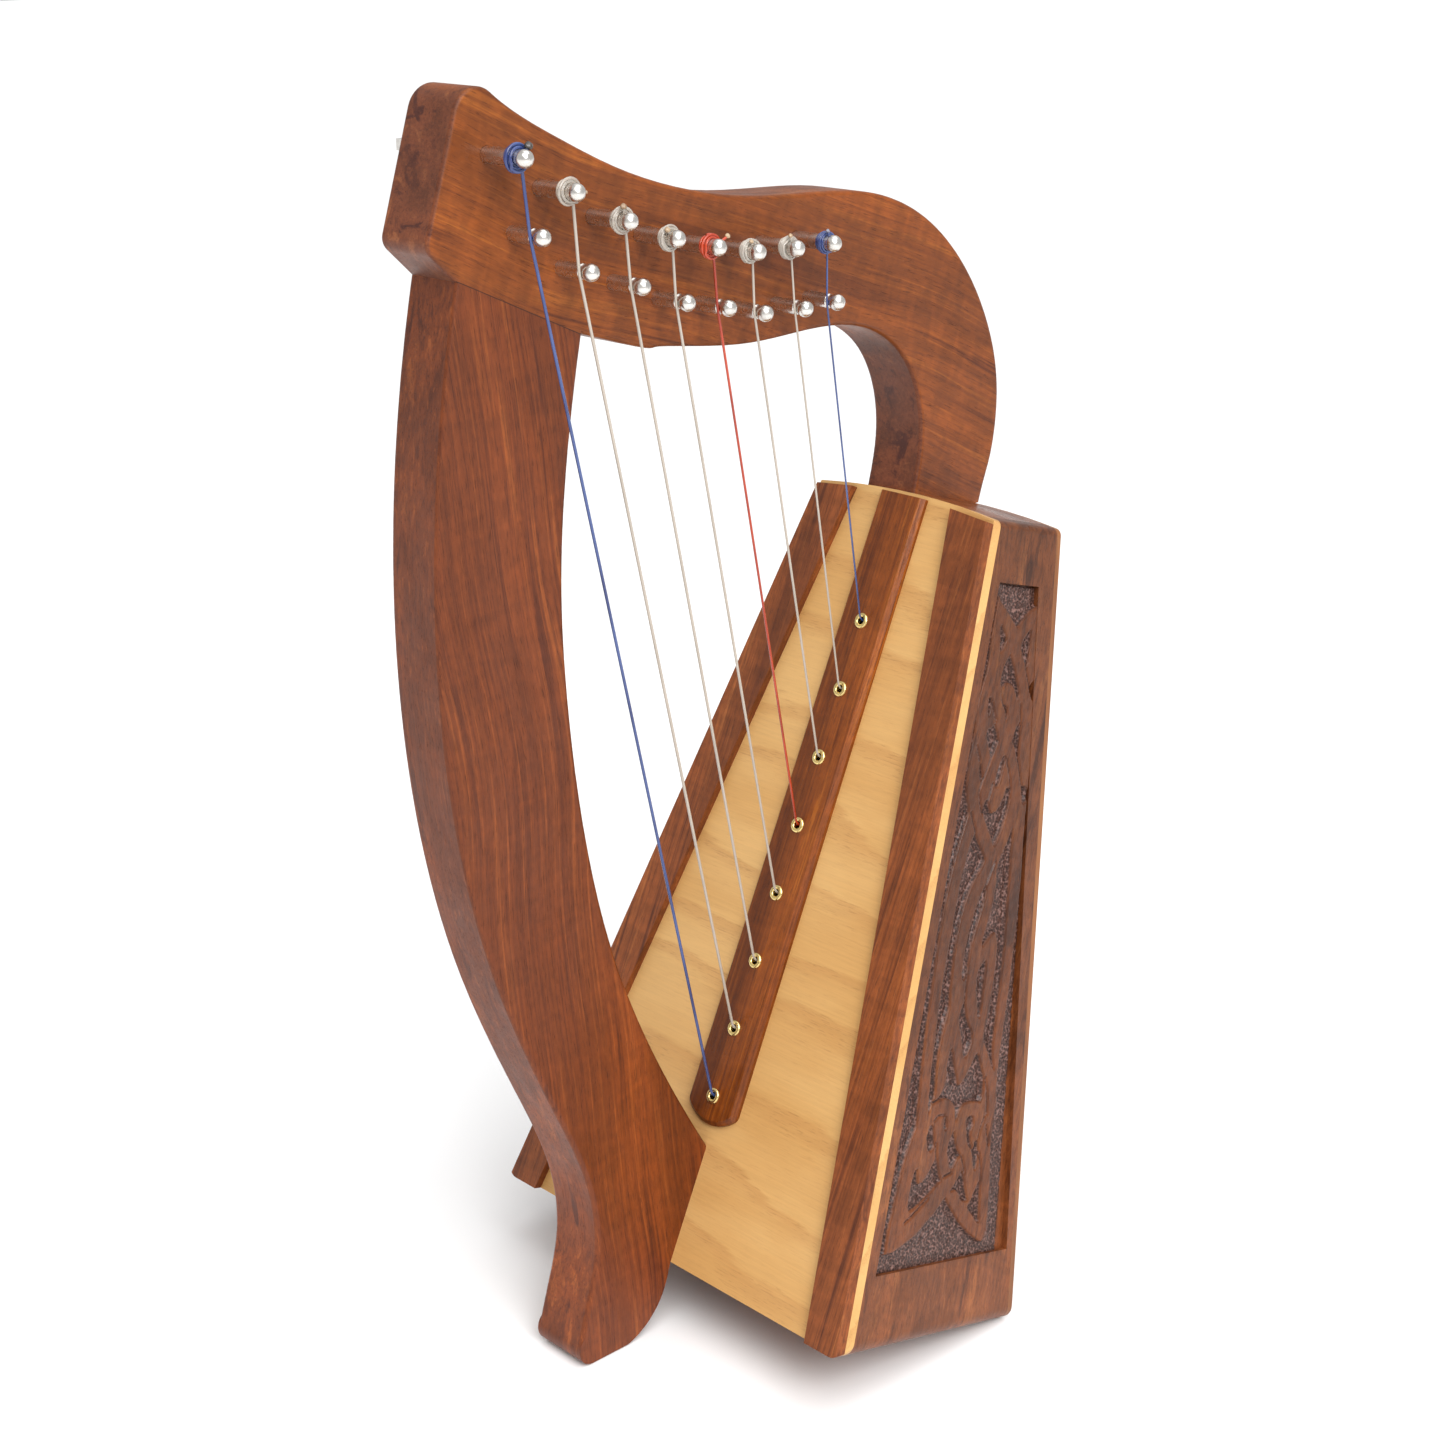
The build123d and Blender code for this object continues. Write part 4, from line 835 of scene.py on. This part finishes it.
def melted_end(name, centre, radius):
    """The lump that a flame leaves on a clipped end."""
    bm = bmesh.new()
    bmesh.ops.create_icosphere(bm, subdivisions=3, radius=radius)
    for v in bm.verts:
        n = v.co.normalized()
        v.co *= 1 + 0.10 * sin(n.x * 3.1 + n.z * 2.3) + 0.07 * sin(n.y * 5.3 + 1.0)
        v.co.z *= 0.86
        v.co += centre
    mesh = bpy.data.meshes.new(name)
    bm.to_mesh(mesh)
    bm.free()
    mesh.shade_smooth()
    obj = bpy.data.objects.new(name, mesh)
    scene.collection.objects.link(obj)
    return obj


burnt = nylon("string_end_dark", (0.07, 0.055, 0.045), (0.02, 0.016, 0.014))
tan_end = nylon("string_end_tan", (0.42, 0.29, 0.17), (0.26, 0.16, 0.09))
grey_end = nylon("string_end_grey", (0.30, 0.29, 0.33), (0.12, 0.13, 0.20))
end_looks = (burnt, tan_end, tan_end, tan_end, tan_end, tan_end, tan_end, grey_end)


def string_piece(number):
    """One string: from its knot through the eyelet, over the bridge pin, and round the winding."""
    i = number - 1
    node = f"string_{number}"
    d = DIAMETERS[i] * MM
    anchor = sum(anchors[i], Vector()) / 2
    eye = sum(eyelets[i], Vector()) / 2
    eye = Vector((0, *(BOARD_FOOT.yz * MM))) + UP_BOARD * (eye - BOARD_FOOT * MM).dot(UP_BOARD)
    mouth = eye + OUT_BOARD * MOUTH_HEIGHT
    start = anchor + OUT_BOARD * KNOT_RADIUS
    coil_low, coil_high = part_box(f"string_coil_{number}")
    x_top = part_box(node)[1].x - d / 2
    bridge = sum(bridges[i], Vector()) / 2
    turn_radius = GROOVE_RADIUS + d / 2 + 0.1 * MM
    cy, cz = (coil_low.y + coil_high.y) / 2, (coil_low.z + coil_high.z) / 2
    wrap = PIN_RADIUS + d * 0.52
    # the straight run from the eyelet meets the pin's front, then turns towards the winding
    touch = Vector((x_top, bridge.y - turn_radius, bridge.z))
    down_y, down_z = touch.y - cy, touch.z - cz
    reach_out = hypot(down_y, down_z)
    turn = atan2(down_z, down_y) + acos(min(1.0, wrap / reach_out))
    tangent = Vector((x_top, cy + wrap * cos(turn), cz + wrap * sin(turn)))
    bend, span = 1.9 * MM, 1.4 * MM
    rise = (mouth - start).normalized()
    run = (touch - mouth).normalized()
    leave = (tangent - touch).normalized()
    path = [start]
    path += rounded_turn(mouth - rise * bend, mouth, mouth + run * bend)
    path += rounded_turn(touch - run * span, touch, touch + leave * span)
    path += helix(cy, cz, wrap, turn, turn + 2.2 * pi, x_top, coil_low.x + d * 0.35, 44)
    piece = tube(f"nylon_string_{number}", path, [d / 2] * len(path), 12)
    piece.data.materials.append(string_looks[slot_of[node]])
    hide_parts(node)
    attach(piece, "harp_frame")


for number in range(1, 9):
    winding(number)
    string_piece(number)

# ------------------------------------------------------------------ floor and light
floor = mesh_object("floor", [(-9, -9, 0), (9, -9, 0), (9, 9, 0), (-9, 9, 0)], [(0, 1, 2, 3)], smooth=False)
floor.location.z = cad_box[0].z - 0.0004
kit = Nodes("floor_paper")
paper = kit.noise(kit.scaled(kit.place, (60, 60, 60)), 1.0, 3.0, 0.5)
kit.set(Base_Color=(0.93, 0.93, 0.93, 1), Roughness=kit.ramp(paper, (0.3, 0.82), (0.7, 0.9)))
floor.data.materials.append(kit.material)

world = bpy.data.worlds.new("studio")
scene.world = world
world.use_nodes = True
world.node_tree.nodes["Background"].inputs["Color"].default_value = (1, 1, 1, 1)
world.node_tree.nodes["Background"].inputs["Strength"].default_value = 0.62


def softbox(name, place, aim, size, power):
    """A square soft light, its side in metres."""
    data = bpy.data.lights.new(name, "AREA")
    data.shape = "SQUARE"
    data.size = size
    data.energy = power
    obj = bpy.data.objects.new(name, data)
    obj.location = place
    obj.rotation_euler = (Vector(aim) - Vector(place)).to_track_quat("-Z", "Y").to_euler()
    scene.collection.objects.link(obj)


softbox("key", (1.5, -0.6, 1.3), (0, 0, 0.22), 0.9, 16)
softbox("top", (0.1, 0.5, 1.9), (0, 0, 0.2), 1.3, 6)
sun = bpy.data.lights.new("sun", "SUN")
sun.energy = 2.0
sun.angle = radians(50)
sun_object = bpy.data.objects.new("sun", sun)
sun_object.rotation_euler = (-Vector((0.8, -0.4, 1.3))).to_track_quat("-Z", "Y").to_euler()
scene.collection.objects.link(sun_object)
scene.view_settings.view_transform = "Standard"
